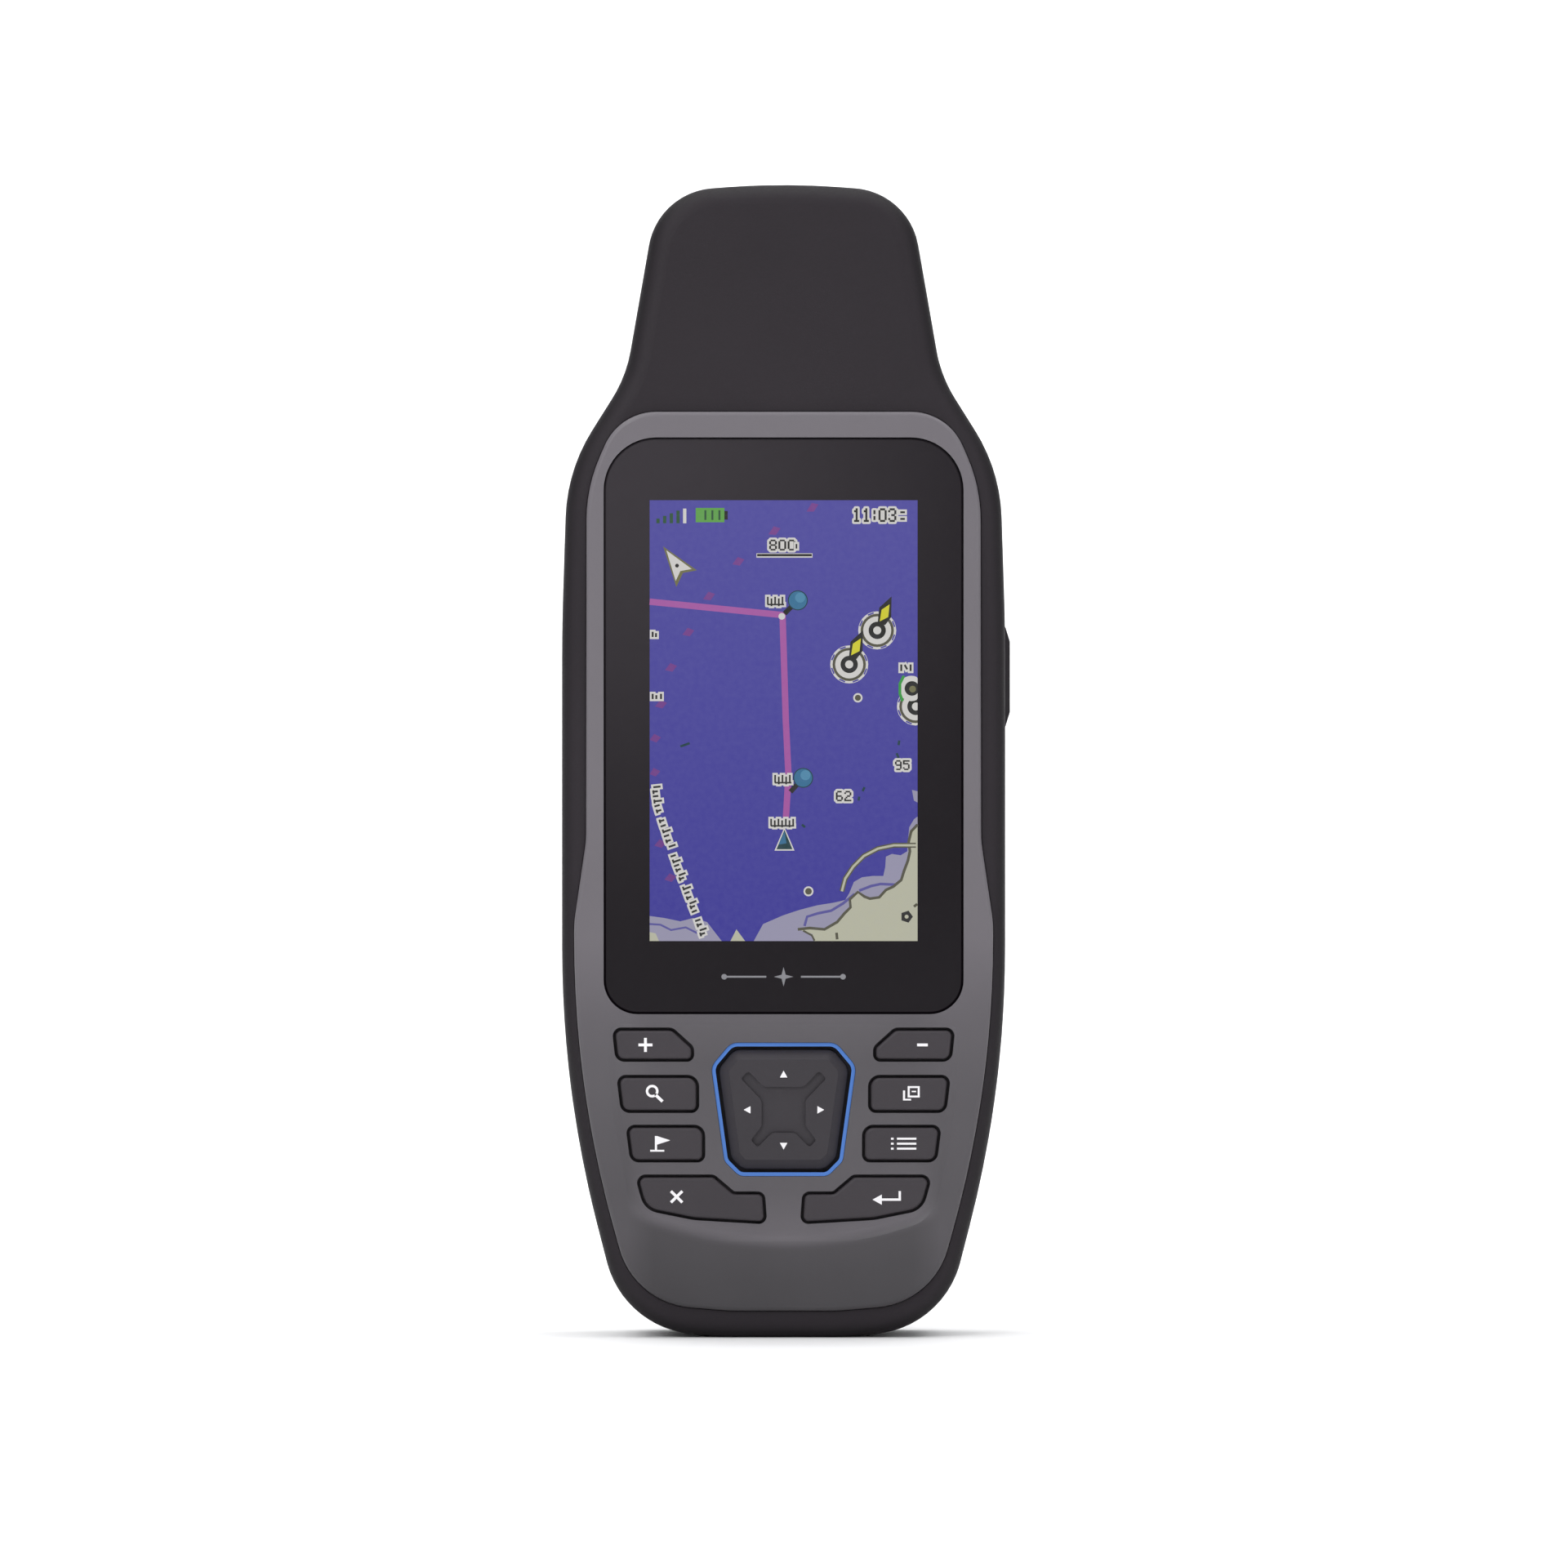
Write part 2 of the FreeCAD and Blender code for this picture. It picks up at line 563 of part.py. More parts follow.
PORT = rectangle("cap_x - port_half_x", "cap_x + port_half_x", "cap_z - port_half_z", "cap_z + port_half_z",
                 "0.8")
CAP_SEAT = "back_y - cap_thick"
rear_cuts = [
    prism("bay_room", "XZ", [BAY], "bay_floor_y", "behind"),
    prism("door_room", "XZ", [grown(DOOR, "door_gap")], "ledge_y", "behind"),
    prism("bayonet_room", "XZ", [rectangle("-bar_half - 0.5", "bar_half + 0.5", "latch_z - bar_width - 0.4",
                                            "latch_z + bar_width + 0.4", "0.5")], "5", "ledge_y + 1"),
    round_bar("latch_bore", "latch_shank + 0.3", "5", "ledge_y + 1", at=("0", "0", "latch_z")),
    prism("bayonet_turn", "XZ", [circle("0", "latch_z", "bar_half + 0.7")], "5", "latch_boss_y + 0.9"),
    prism("cap_room", "XZ", [grown(CAP, "cap_gap")], CAP_SEAT + " - 0.05", "behind"),
    prism("hinge_room", "XZ", [rectangle("cap_x - cap_half_x + cap_gap", "cap_x + cap_half_x - cap_gap",
                                         "cap_z + cap_half_z - 1", "cap_z + cap_half_z + 1.8", "0.3")],
          CAP_SEAT + " - 0.05", "behind"),
    prism("port_room", "XZ", [grown(PORT, "0.45")], "8", "behind"),
]
for i, (x, z, _) in enumerate(SCREWS):
    rear_cuts += [round_bar(f"rear_bore{i}", "screw_radius + 0.15", "seam_y - 2", "behind", at=(x, "0", z)),
                  round_bar(f"rear_sink{i}", "counterbore", "screw_seat_y", "behind", at=(x, "0", z))]
deliver(carve("rear_case", rear_bulk, rear_cuts), "rear_shell")

# seal between the halves
seal_body = prism("seal_body", "XZ", [grown(CASE, "-seal_inset"), grown(CASE, "-wall + 0.1")],
                  "seam_y - seam_half", "seam_y + seam_half")
deliver(seal_body, "shell_seal")

# ---------------------------------------------------------------- face plate and display

plate = prism("plate", "XZ", [PLATE], "before", "0")
trim(plate, ahead_of_face("-plate_proud"))
trim(plate, behind_face("plate_seat"))
soften(plate, "Fillet", V(0, -1, 0), "plate_round")
dish_tool = prism("dish_tool", "XZ", [DISH], "before", "0")
PLATE_FRONT = "face_y - plate_proud"
dish_floor = [("behind", "below", "0"), ("chin_y - plate_proud + dish_depth", "below", "0"),
              (PLATE_FRONT + " + dish_depth", "face_low_z - 4", "60"),
              (PLATE_FRONT + " - 0.02", "dish_fade_z", "8"), (PLATE_FRONT + " - 0.2", "above", "0"),
              ("behind", "above", "0")]
trim(dish_tool, dish_floor)
soften(dish_tool, "Fillet", V(0, 1, 0), "dish_sweep")
plate_tools = [dish_tool, prism("lens_room", "XZ", [grown(LENS, "0.12")], "before", "0"),
               prism("rocker_room", "XZ", [grown(ROCKER, "0.05")], "before", "0")]
plate_tools += [prism("room_" + name, "XZ", [shape[0]], "before", "0") for name, shape in KEYS.items()]
deliver(carve("plate_cut", plate, plate_tools), "face_plate")

LENS_FRONT = PLATE_FRONT + " + lens_sunk"
LENS_BACK = LENS_FRONT + " + lens_thick"
lens = prism("lens", "XZ", [LENS], LENS_FRONT, LENS_BACK)
soften(lens, "Chamfer", V(0, -1, 0), "0.25")
deliver(lens, "display_lens")
gasket = prism("gasket", "XZ", [grown(LENS, "-0.6"), grown(WINDOW, "0.5")], LENS_BACK, "face_y + plate_seat")
deliver(gasket, "lens_gasket")

GLASS = rectangle("-glass_half", "glass_half", "glass_low_z", "glass_top_z", "0.3")
deliver(prism("glass", "XZ", [GLASS], "glass_front_y", "glass_back_y - 0.02"), "lcd_panel")
deliver(prism("light", "XZ", [GLASS], "glass_back_y", "light_back_y - 0.02"), "lcd_backlight")
tray = prism("tray", "XZ", [grown(GLASS, "0.7"), grown(GLASS, "0.15")], "glass_back_y - 0.6", "tray_back_y")
pad(tray, "XZ", [grown(GLASS, "0.7")], "light_back_y", "tray_back_y")
tray_feet = [circle(x, z, "1.3") for x in ("-17", "17") for z in ("63", "123")]
pad(tray, "XZ", tray_feet, "tray_back_y - 0.1", "board_front_y")
deliver(tray, "lcd_frame")

# ---------------------------------------------------------------- keypad

def face_slice(name, outline, front, back):
    """A prism that follows the slope of the face between two depths behind it."""
    body = prism(name, "XZ", [outline], "before", "0")
    trim(body, ahead_of_face(front))
    trim(body, behind_face(back))
    return body


FACE_SLOPE = "(chin_y - face_y) / (face_low_z - below)"
DOME_Y = "key_board_front_y - dome_height"
domes = []
for node, (outline, x, z) in KEYS.items():
    top = face_slice(node + "_top", grown(outline, "-key_gap"), "-key_proud", "lip_front + 0.2")
    soften(top, "Fillet", V(0, -1, 0), "key_round")
    lip = face_slice(node + "_lip", grown(outline, "key_lip"), "lip_front", "lip_back")
    plunger_front = f"face_y + lip_front + 0.3 + ({FACE_SLOPE}) * (face_low_z - {z})"
    plunger = round_bar(node + "_plunger", "plunger_radius", plunger_front, DOME_Y + " - key_travel - 0.06",
                        at=(x, "0", z))
    deliver(combine("Part::MultiFuse", node + "_body", [top, lip, plunger]), node)
    domes.append(round_bar(node + "_dome", "dome_radius", DOME_Y, "key_board_front_y", at=(x, "0", z)))
ROCKER_SPOTS = [("0", "rocker_z + 6.7"), ("0", "rocker_z - 6.9"), ("-6.7", "rocker_z"), ("6.7", "rocker_z")]
domes += [round_bar(f"rocker_dome{i}", "dome_radius", DOME_Y, "key_board_front_y", at=(x, "0", z))
          for i, (x, z) in enumerate(ROCKER_SPOTS)]
deliver(group("domes", domes), "key_domes")

# rubber mat: a sheet that follows the face, with a skirt down to the keypad board
sheet_body = face_slice("mat_sheet", grown(KEYPAD, "-0.1"), "mat_front", "mat_back")
skirt = prism("mat_skirt", "XZ", [grown(KEYPAD, "-0.1"), grown(KEYPAD, "-0.1 - mat_edge")], "before", "-11")
trim(skirt, ahead_of_face("mat_back - 0.2"))
mat_bulk = combine("Part::MultiFuse", "mat_bulk", [sheet_body, skirt])
mat_tools = [prism("mat_room_" + name, "XZ", [grown(shape[0], "key_lip + mat_clearance")], "before", "0")
             for name, shape in KEYS.items()]
mat_tools.append(prism("mat_room_rocker", "XZ", [grown(ROCKER, "0.3")], "before", "0"))
deliver(carve("mat", mat_bulk, mat_tools), "keypad_mat")

KEY_BOARD = mirrored([("13.8", "52.8", "1"), ("13.8", "49.6", "0.6"), ("22.2", "49.6", "1"),
                      ("22.2", "25", "1"), ("20.9", "23.6", "1"), ("20.9", "15.5", "2")])
key_board = prism("key_board", "XZ", [KEY_BOARD], "key_board_front_y", "key_board_back_y")
pocket(key_board, "XZ", [circle(x, z, "post_bore + 0.1") for x, z in KEY_BOARD_POSTS],
       "key_board_front_y - 0.1", "key_board_back_y + 0.1")
deliver(key_board, "keypad_board")

# ---------------------------------------------------------------- four-way rocker

ring = prism("ring", "XZ", [ROCKER, grown(ROCKER, "-ring_width")], "before", "0")
trim(ring, ahead_of_face("dish_depth - plate_proud - ring_proud"))
trim(ring, behind_face("plate_seat"))
deliver(ring, "rocker_ring")

PAD_OUTLINE = [(u, v, "2.2") for u, v, _ in grown(ROCKER, "-ring_width - rocker_gap")]
pad_top = face_slice("pad_top", PAD_OUTLINE, "-rocker_proud", "rocker_lip_back")
soften(pad_top, "Chamfer", V(0, -1, 0), "rocker_bevel")
pad_lip = face_slice("pad_lip", grown(PAD_OUTLINE, "0.8"), "rocker_lip_front", "rocker_lip_back")
STAR = mirrored([("3.0", "37.9", "1.2"), ("5.3", "40.3", "0.4"), ("6.4", "39.15", "0.4"),
                 ("3.3", "35.9", "1.2"), ("3.3", "32.0", "1.0"), ("4.9", "29.9", "0.4"),
                 ("3.9", "28.8", "0.4"), ("1.7", "31.0", "1.0")])
groove = face_slice("groove", STAR, "-rocker_proud - 1", "-rocker_proud + groove_depth")
pivot_room = round_bar("pivot_room", "4.6", "pivot_y - 1.95", "0", at=("0", "0", "rocker_z"))
pad_bulk = combine("Part::MultiFuse", "pad_bulk", [pad_top, pad_lip])
pad_rooms = combine("Part::MultiFuse", "pad_rooms", [groove, pivot_room])
pad_shell = combine("Part::Cut", "pad_shell", (pad_bulk, pad_rooms))
pad_arms = prism("pad_arms", "XZ", [rectangle("-arm_half", "arm_half", low, high)
                                    for low, high in (("rocker_z + arm_near", "rocker_z + arm_far"),
                                                      ("rocker_z - arm_far", "rocker_z - arm_near"))],
                 "pivot_y - 2.2", "pivot_y - 0.1")
pad_socket = round_bar("pad_socket", "socket_radius", "rocker_z - 6", "rocker_z + 6", "Z",
                       ("0", "pivot_y", "0"))
pad_cradle = combine("Part::Cut", "pad_cradle", (pad_arms, pad_socket))
nubs = [round_bar(f"pad_nub{i}", "1.1", DOME_Y + " - 4", DOME_Y + " - 0.45", at=(x, "0", z))
        for i, (x, z) in enumerate(ROCKER_SPOTS)]
deliver(combine("Part::MultiFuse", "pad_body", [pad_shell, pad_cradle] + nubs), "rocker_pad")

cross = combine("Part::MultiFuse", "cross", [
    round_bar("cross_bar", "pivot_radius", "-pivot_half", "pivot_half", "X", ("0", "pivot_y", "rocker_z")),
    round_bar("cross_stem", "pivot_radius", "rocker_z - pivot_half", "rocker_z + pivot_half", "Z",
              ("0", "pivot_y", "0")),
])
deliver(cross, "rocker_pivot")

post_arms = prism("post_arms", "XZ", [rectangle(low, high, "rocker_z - arm_half", "rocker_z + arm_half")
                                      for low, high in (("arm_near", "arm_far"), ("-arm_far", "-arm_near"))],
                  "pivot_y + 0.1", "key_board_front_y")
post_socket = round_bar("post_socket", "socket_radius", "-6", "6", "X", ("0", "pivot_y", "rocker_z"))
post_base = prism("post_base", "XZ", [rectangle("-arm_far - 0.1", "arm_far + 0.1",
                                                "rocker_z - arm_half", "rocker_z + arm_half")],
                  "key_board_front_y - 0.15", "key_board_front_y")
post_fork = combine("Part::MultiFuse", "post_fork", [post_arms, post_base])
deliver(combine("Part::Cut", "post", (post_fork, post_socket)), "rocker_post")

# ---------------------------------------------------------------- side power button

POWER = [("half_width + power_proud", "power_z - power_flat", "0.5"),
         ("half_width + power_proud", "power_z + power_flat", "0.5"),
         ("half_width + 0.05", "power_z + power_half_length", "0.3"),
         ("power_root_x", "power_z + power_half_length", "0"),
         ("power_root_x", "power_z - power_half_length", "0"),
         ("half_width + 0.05", "power_z - power_half_length", "0.3")]
button = prism("button", "XZ", [POWER], "power_y - power_half_depth", "power_y + power_half_depth")
pad(button, "XZ", [rectangle("30.2", "31.0", "power_z - power_half_length - power_lip",
                             "power_z + power_half_length + power_lip", "0.2")],
    "power_y - power_half_depth - power_lip", "power_y + power_half_depth + power_lip")
pad(button, "YZ", [circle("power_y", "power_z", "1.4")], "29.1", "30.4")
deliver(button, "power_button")
switch = prism("switch", "XZ", [rectangle("23.2", "27.2", "power_z - 3.2", "power_z + 3.2", "0.4")],
               "-9.9", "board_front_y")
pad(switch, "YZ", [circle("power_y - 0.2", "power_z", "1.3")], "27.1", "28.4")
deliver(switch, "power_switch")

# ---------------------------------------------------------------- boards and what they carry

BOARD = mirrored([("board_tab_half", "board_tab_z", "1"), ("board_tab_half", "board_top_z", "1"),
                  ("board_half", "board_top_z", "1.5"), ("board_half", "114", "1"), ("26.9", "114", "1"),
                  ("26.9", "94", "1"), ("board_half", "94", "1"), ("board_half", "board_low_z", "1.5")])
board = prism("board", "XZ", [BOARD], "board_front_y", "board_back_y")
pocket(board, "XZ", [circle(x, z, "post_bore + 0.1") for x, z in BOARD_POSTS],
       "board_front_y - 0.1", "board_back_y + 0.1")
deliver(board, "main_board")


def on_board(node, outline, height, corner_round="0"):
    """A component on the back of the main board."""
    body = prism(node + "_block", "XZ", [outline], "board_back_y", f"board_back_y + {height}")
    if corner_round != "0":
        soften(body, "Fillet", V(0, 1, 0), corner_round)
    return deliver(body, node)


on_board("radio_shield", rectangle("-17", "4", "106", "128", "0.8"), "2.4", "0.4")
on_board("logic_shield", rectangle("-6", "17", "82", "103", "0.8"), "2.4", "0.4")
on_board("buzzer", rectangle("8.5", "17.5", "108", "117", "4.4"), "2.6", "0.3")
on_board("card_slot", rectangle("-7.5", "7.5", "44", "59", "0.5"), "1.8")
on_board("backup_cell", rectangle("-14.5", "-2.5", "24", "36", "5.9"), "2.2", "0.3")

port_board = prism("port_board", "XZ", [rectangle("cap_x - 5.6", "cap_x + 6.2", "cap_z - 7", "cap_z + 7",
                                                  "0.6")], "port_front_y - 1", "port_front_y")
pad(port_board, "XZ", [rectangle("cap_x - 2.6", "cap_x + 6", "cap_z - 6.4", "cap_z - 4.4")],
    "board_back_y", "port_front_y - 0.9")
deliver(port_board, "port_carrier")
port = prism("port", "XZ", [PORT], "port_front_y", CAP_SEAT + " - 0.3")
pocket(port, "XZ", [grown(PORT, "-0.45")], "9", "back_y")
deliver(port, "data_port")

# weather cap over the port: a plate, a plug and a barrel along its top edge
cap_blank = prism("cap_blank", "XZ", [CAP], CAP_SEAT, "behind")
cap_plate = combine("Part::MultiCommon", "cap_plate", [cap_blank, outer])
cap_web = prism("cap_web", "XZ", [rectangle("cap_x - cap_hinge_half", "cap_x + cap_hinge_half",
                                            "cap_z + cap_half_z - 1", "cap_z + cap_hinge_up")],
                "cap_hinge_y - 0.6", "cap_hinge_y + 0.6")
cap_plug = prism("cap_plug", "XZ", [rectangle("cap_x - 3.1", "cap_x + 3.1", "cap_z - 1.1", "cap_z + 1.4",
                                              "0.6")], CAP_SEAT + " - 1.6", CAP_SEAT + " + 0.2")
cap_barrel = round_bar("cap_hinge", "cap_barrel", "cap_x - cap_hinge_half", "cap_x + cap_hinge_half", "X",
                       ("0", "cap_hinge_y", "cap_z + cap_hinge_up"))
deliver(combine("Part::MultiFuse", "cap_body", [cap_plate, cap_web, cap_plug, cap_barrel]), "port_cap")

# ---------------------------------------------------------------- aerial in the hood

aerial_top = "aerial_low_z + aerial_height"
aerial_base = prism("aerial_base", "XY", [rectangle("-7.2", "7.2", "aerial_y - 5.6", "aerial_y + 6", "1.5")],
                    "aerial_low_z - 1.2", "aerial_low_z")
pad(aerial_base, "XZ", [rectangle("-6", "6", "aerial_low_z - 9", "aerial_low_z - 0.2")],
    "board_back_y", "board_back_y + 1.2")
deliver(aerial_base, "aerial_board")
core = prism("core", "XY", [circle("0", "aerial_y", "aerial_radius - 0.35")], "aerial_low_z", aerial_top)
deliver(core, "aerial_core")
AERIAL_RING = [circle("0", "aerial_y", "aerial_radius"), circle("0", "aerial_y", "aerial_radius - 0.3")]
bands = [prism(f"aerial_ring{i}", "XY", AERIAL_RING, f"aerial_low_z + {low}", f"aerial_low_z + {low + 1.2}")
         for i, low in enumerate((2, 7, 12, 17, 22))]
deliver(group("aerial_rings", bands), "aerial_bands")

# ---------------------------------------------------------------- batteries, contacts and door


def cell(name, x, low, nipple_up):
    """One AA cell with its button terminal at one end."""
    body = prism(name, "XY", [circle(x, "cell_y", "cell_radius")], low, f"{low} + cell_length")
    end = f"{low} + cell_length" if nipple_up else f"{low} - 1.25"
    pad(body, "XY", [circle(x, "cell_y", "2.75")], end, f"{end} + 1.25")
    for facing in (V(0, 0, 1), V(0, 0, -1)):
        soften(body, "Fillet", facing, "0.6", lambda centre: abs(centre.z - number(low)) < 0.1 or
               abs(centre.z - number(f"{low} + cell_length")) < 0.1)
    return deliver(body, name)


def coil(name, x, low):
    """A short contact spring, wound along Z."""
    body = new_body(name)
    sketch = sketch_in(body, "XZ", [circle("3.4", "0.5", "0.4")], "0")
    spiral = body.newObject("PartDesign::AdditiveHelix", name + "_helix")
    spiral.Profile = sketch
    spiral.ReferenceAxis = (sketch, ["V_Axis"])
    spiral.Mode = "pitch-height-angle"
    spiral.Pitch = 1.05
    spiral.Height = 2.65
    settle(body)
    body.Placement = FreeCAD.Placement(V(number(x), number("cell_y"), number(low)), FreeCAD.Rotation())
    return body


cell("battery_left", "-cell_x", "cell_low_z", True)
cell("battery_right", "cell_x", "cell_low_z - 1.9", False)
springs = [coil("left_spring", "-cell_x", "cell_low_z - 3.65"),
           coil("right_spring", "cell_x", "cell_low_z - 1.85 + cell_length")]
deliver(group("springs", springs), "battery_springs")
CONTACT_SPOTS = [("-cell_x", "cell_low_z + cell_length + 1.3", "bay_top_z - 0.05"),
                 ("cell_x", "bay_low_z + 0.05", "cell_low_z - 3.2"),
                 ("-cell_x", "bay_low_z + 0.05", "cell_low_z - 3.66"),
                 ("cell_x", "cell_low_z - 1.82 + cell_length + 3.6", "bay_top_z - 0.05")]
plates = [prism(f"contact{i}", "XY", [rectangle(f"{x} - 5", f"{x} + 5", "cell_y - 4.5", "cell_y + 4.5", "1")],
                low, high) for i, (x, low, high) in enumerate(CONTACT_SPOTS)]
deliver(group("contacts", plates), "battery_contacts")

door_blank = prism("door_blank", "XZ", [DOOR], "door_inner_y", "behind")
door_skin = combine("Part::MultiCommon", "door_skin", [door_blank, outer])
door_rib = prism("door_rib", "XZ", [rectangle("-12", "12", "bay_top_z - 1.9", "bay_top_z - 0.4", "0.5"),
                                    rectangle("-0.6", "0.6", "40", "60", "0.3")],
                 "door_inner_y - 1.2", "door_inner_y + 0.3")
door_bulk = combine("Part::MultiFuse", "door_bulk", [door_skin, door_rib])
door_tools = combine("Part::MultiFuse", "door_tools", [
    round_bar("head_sink", "latch_head + 0.2", "latch_head_y", "behind", at=("0", "0", "latch_z")),
    round_bar("head_bore", "latch_shank + 0.1", "door_inner_y - 1", "behind", at=("0", "0", "latch_z")),
])
deliver(combine("Part::Cut", "door", (door_bulk, door_tools)), "battery_door")
SEAL_INNER = rectangle("-seal_inner", "seal_inner", "bay_low_z - 0.8", "bay_top_z + 0.6", "2.6")
bay_seal = prism("bay_seal", "XZ", [grown(DOOR, "-0.4"), SEAL_INNER], "ledge_y", "ledge_y + seal_thick")
pocket(bay_seal, "XZ", [circle("0", "latch_z", "4.5")], "ledge_y - 1", "door_inner_y")
deliver(bay_seal, "door_seal")

# ---------------------------------------------------------------- latch screw and D-ring

latch = prism("latch", "XZ", [circle("0", "latch_z", "latch_head")], "latch_head_y + 0.05", "latch_top_y")
soften(latch, "Chamfer", V(0, 1, 0), "0.25")
pad(latch, "XZ", [circle("0", "latch_z", "latch_shank")], "latch_end_y", "latch_head_y + 0.2")
pad(latch, "XZ", [rectangle("-bar_half", "bar_half", "latch_z - bar_width", "latch_z + bar_width", "0.4")],
    "latch_end_y", "latch_boss_y - 0.15")
EAR = [("loop_y + 0.9", "latch_z - 1.2", "0.8"), ("loop_y + 0.9", "latch_z + 1.2", "0.8"),
       ("latch_top_y - 0.3", "latch_z + ear_half", "0"), ("latch_top_y - 0.3", "latch_z - ear_half", "0")]
for low, high in (("ear_inner", "ear_outer"), ("-ear_outer", "-ear_inner")):
    pad(latch, "YZ", [EAR], low, high)
pocket(latch, "YZ", [circle("loop_y", "latch_z", "loop_wire + 0.1")], "-ear_outer - 1", "ear_outer + 1")
deliver(latch, "latch_screw")

loop = new_body("loop")
loop_wire = sketch_in(loop, "YZ", [circle("loop_y", "latch_z", "loop_wire")], "0")
LOOP = [("loop_half", "latch_z", "1.3"), ("loop_half", "latch_z - loop_leg - loop_half", "loop_half - 0.1"),
        ("-loop_half", "latch_z - loop_leg - loop_half", "loop_half - 0.1"), ("-loop_half", "latch_z", "1.3")]
loop_path = sketch_in(loop, "XZ", [LOOP], "-(loop_y)")
sweep = loop.newObject("PartDesign::AdditivePipe", "loop_sweep")
sweep.Profile = loop_wire
sweep.Spine = loop_path
settle(loop)
deliver(loop, "d_ring")

# ---------------------------------------------------------------- screws


def screw(name, x, z, seat, tip, head_radius, head_height, shank_radius):
    """A cross-slotted screw whose head faces the back."""
    body = prism(name, "XZ", [circle(x, z, head_radius)], seat, f"{seat} + {head_height}")
    soften(body, "Fillet", V(0, 1, 0), "0.3")
    pad(body, "XZ", [circle(x, z, shank_radius)], tip, f"{seat} + 0.1")
    slot = f"{head_radius} * 0.62"
    for half_x, half_z in ((slot, "0.28"), ("0.28", slot)):
        cross = rectangle(f"{x} - ({half_x})", f"{x} + {half_x}", f"{z} - ({half_z})", f"{z} + {half_z}")
        pocket(body, "XZ", [cross], f"{seat} + {head_height} * 0.45", f"{seat} + {head_height} + 1")
    return body


CASE_SCREW = ("screw_seat_y", "screw_tip_y", "screw_head_radius", "screw_head_height", "screw_radius")
BOARD_SCREW = ("board_back_y", "board_back_y - 6", "1.7", "1.1", "post_bore - 0.05")
KEY_BOARD_SCREW = ("key_board_back_y", "key_board_back_y - 3.2", "1.7", "1.1", "post_bore - 0.05")
case_screws = [screw(f"case_screw{i}", x, z, *CASE_SCREW) for i, (x, z, _) in enumerate(SCREWS)]
deliver(group("case_screw_set", case_screws), "case_screws")
board_screws = [screw(f"board_screw{i}", x, z, *BOARD_SCREW) for i, (x, z) in enumerate(BOARD_POSTS)]
board_screws += [screw(f"key_screw{i}", x, z, *KEY_BOARD_SCREW) for i, (x, z) in enumerate(KEY_BOARD_POSTS)]
deliver(group("board_screw_set", board_screws), "board_screws")

# ---------------------------------------------------------------- checks and export

doc.recompute()
for feature in doc.Objects:
    if {"Invalid", "Error"} & set(feature.State):
        raise ValueError(f"{feature.Name}: {feature.State}")
for feature in parts:
    if feature.Shape.isNull() or not feature.Shape.isValid() or not feature.Shape.Solids:
        raise ValueError(f"{feature.Label}: no valid solid")
os.makedirs("parts", exist_ok=True)
for feature in parts:
    feature.Shape.exportStep(f"parts/{feature.Label}.step")
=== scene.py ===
"""Handheld satellite navigator: materials, chart display, key legends, stage, lights and camera."""

import bmesh
import bpy
import math
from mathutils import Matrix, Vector
from mathutils.bvhtree import BVHTree
from mathutils.geometry import delaunay_2d_cdt


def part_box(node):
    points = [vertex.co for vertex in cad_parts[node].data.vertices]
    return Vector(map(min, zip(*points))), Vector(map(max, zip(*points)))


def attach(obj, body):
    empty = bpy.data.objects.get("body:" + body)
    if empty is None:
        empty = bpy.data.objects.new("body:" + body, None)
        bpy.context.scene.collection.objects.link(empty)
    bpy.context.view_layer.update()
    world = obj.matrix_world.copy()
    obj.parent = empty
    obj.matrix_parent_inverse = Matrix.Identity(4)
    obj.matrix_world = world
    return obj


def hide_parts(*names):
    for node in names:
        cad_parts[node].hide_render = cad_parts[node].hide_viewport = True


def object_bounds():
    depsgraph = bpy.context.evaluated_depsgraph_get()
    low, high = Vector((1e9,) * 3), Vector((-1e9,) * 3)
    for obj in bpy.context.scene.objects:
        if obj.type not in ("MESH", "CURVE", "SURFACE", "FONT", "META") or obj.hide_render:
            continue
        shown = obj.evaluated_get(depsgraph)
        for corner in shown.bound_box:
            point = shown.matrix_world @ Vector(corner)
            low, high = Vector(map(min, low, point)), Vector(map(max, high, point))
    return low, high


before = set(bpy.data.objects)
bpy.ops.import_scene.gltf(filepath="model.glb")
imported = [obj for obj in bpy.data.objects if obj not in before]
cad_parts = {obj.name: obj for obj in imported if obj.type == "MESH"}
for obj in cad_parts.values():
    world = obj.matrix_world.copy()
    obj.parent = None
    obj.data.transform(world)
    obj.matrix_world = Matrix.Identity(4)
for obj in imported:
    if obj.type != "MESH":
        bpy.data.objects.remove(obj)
CAD_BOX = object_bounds()
MM = 0.001


# ---------------------------------------------------------------- colours and materials

def linear(red, green, blue):
    """A colour given in 8-bit display values, as the shader wants it."""
    def channel(value):
        value /= 255
        return value / 12.92 if value <= 0.04045 else ((value + 0.055) / 1.055) ** 2.4
    return channel(red), channel(green), channel(blue), 1.0


def scaled(colour, factor):
    return tuple(min(1.0, part * factor) for part in colour[:3]) + (1.0,)


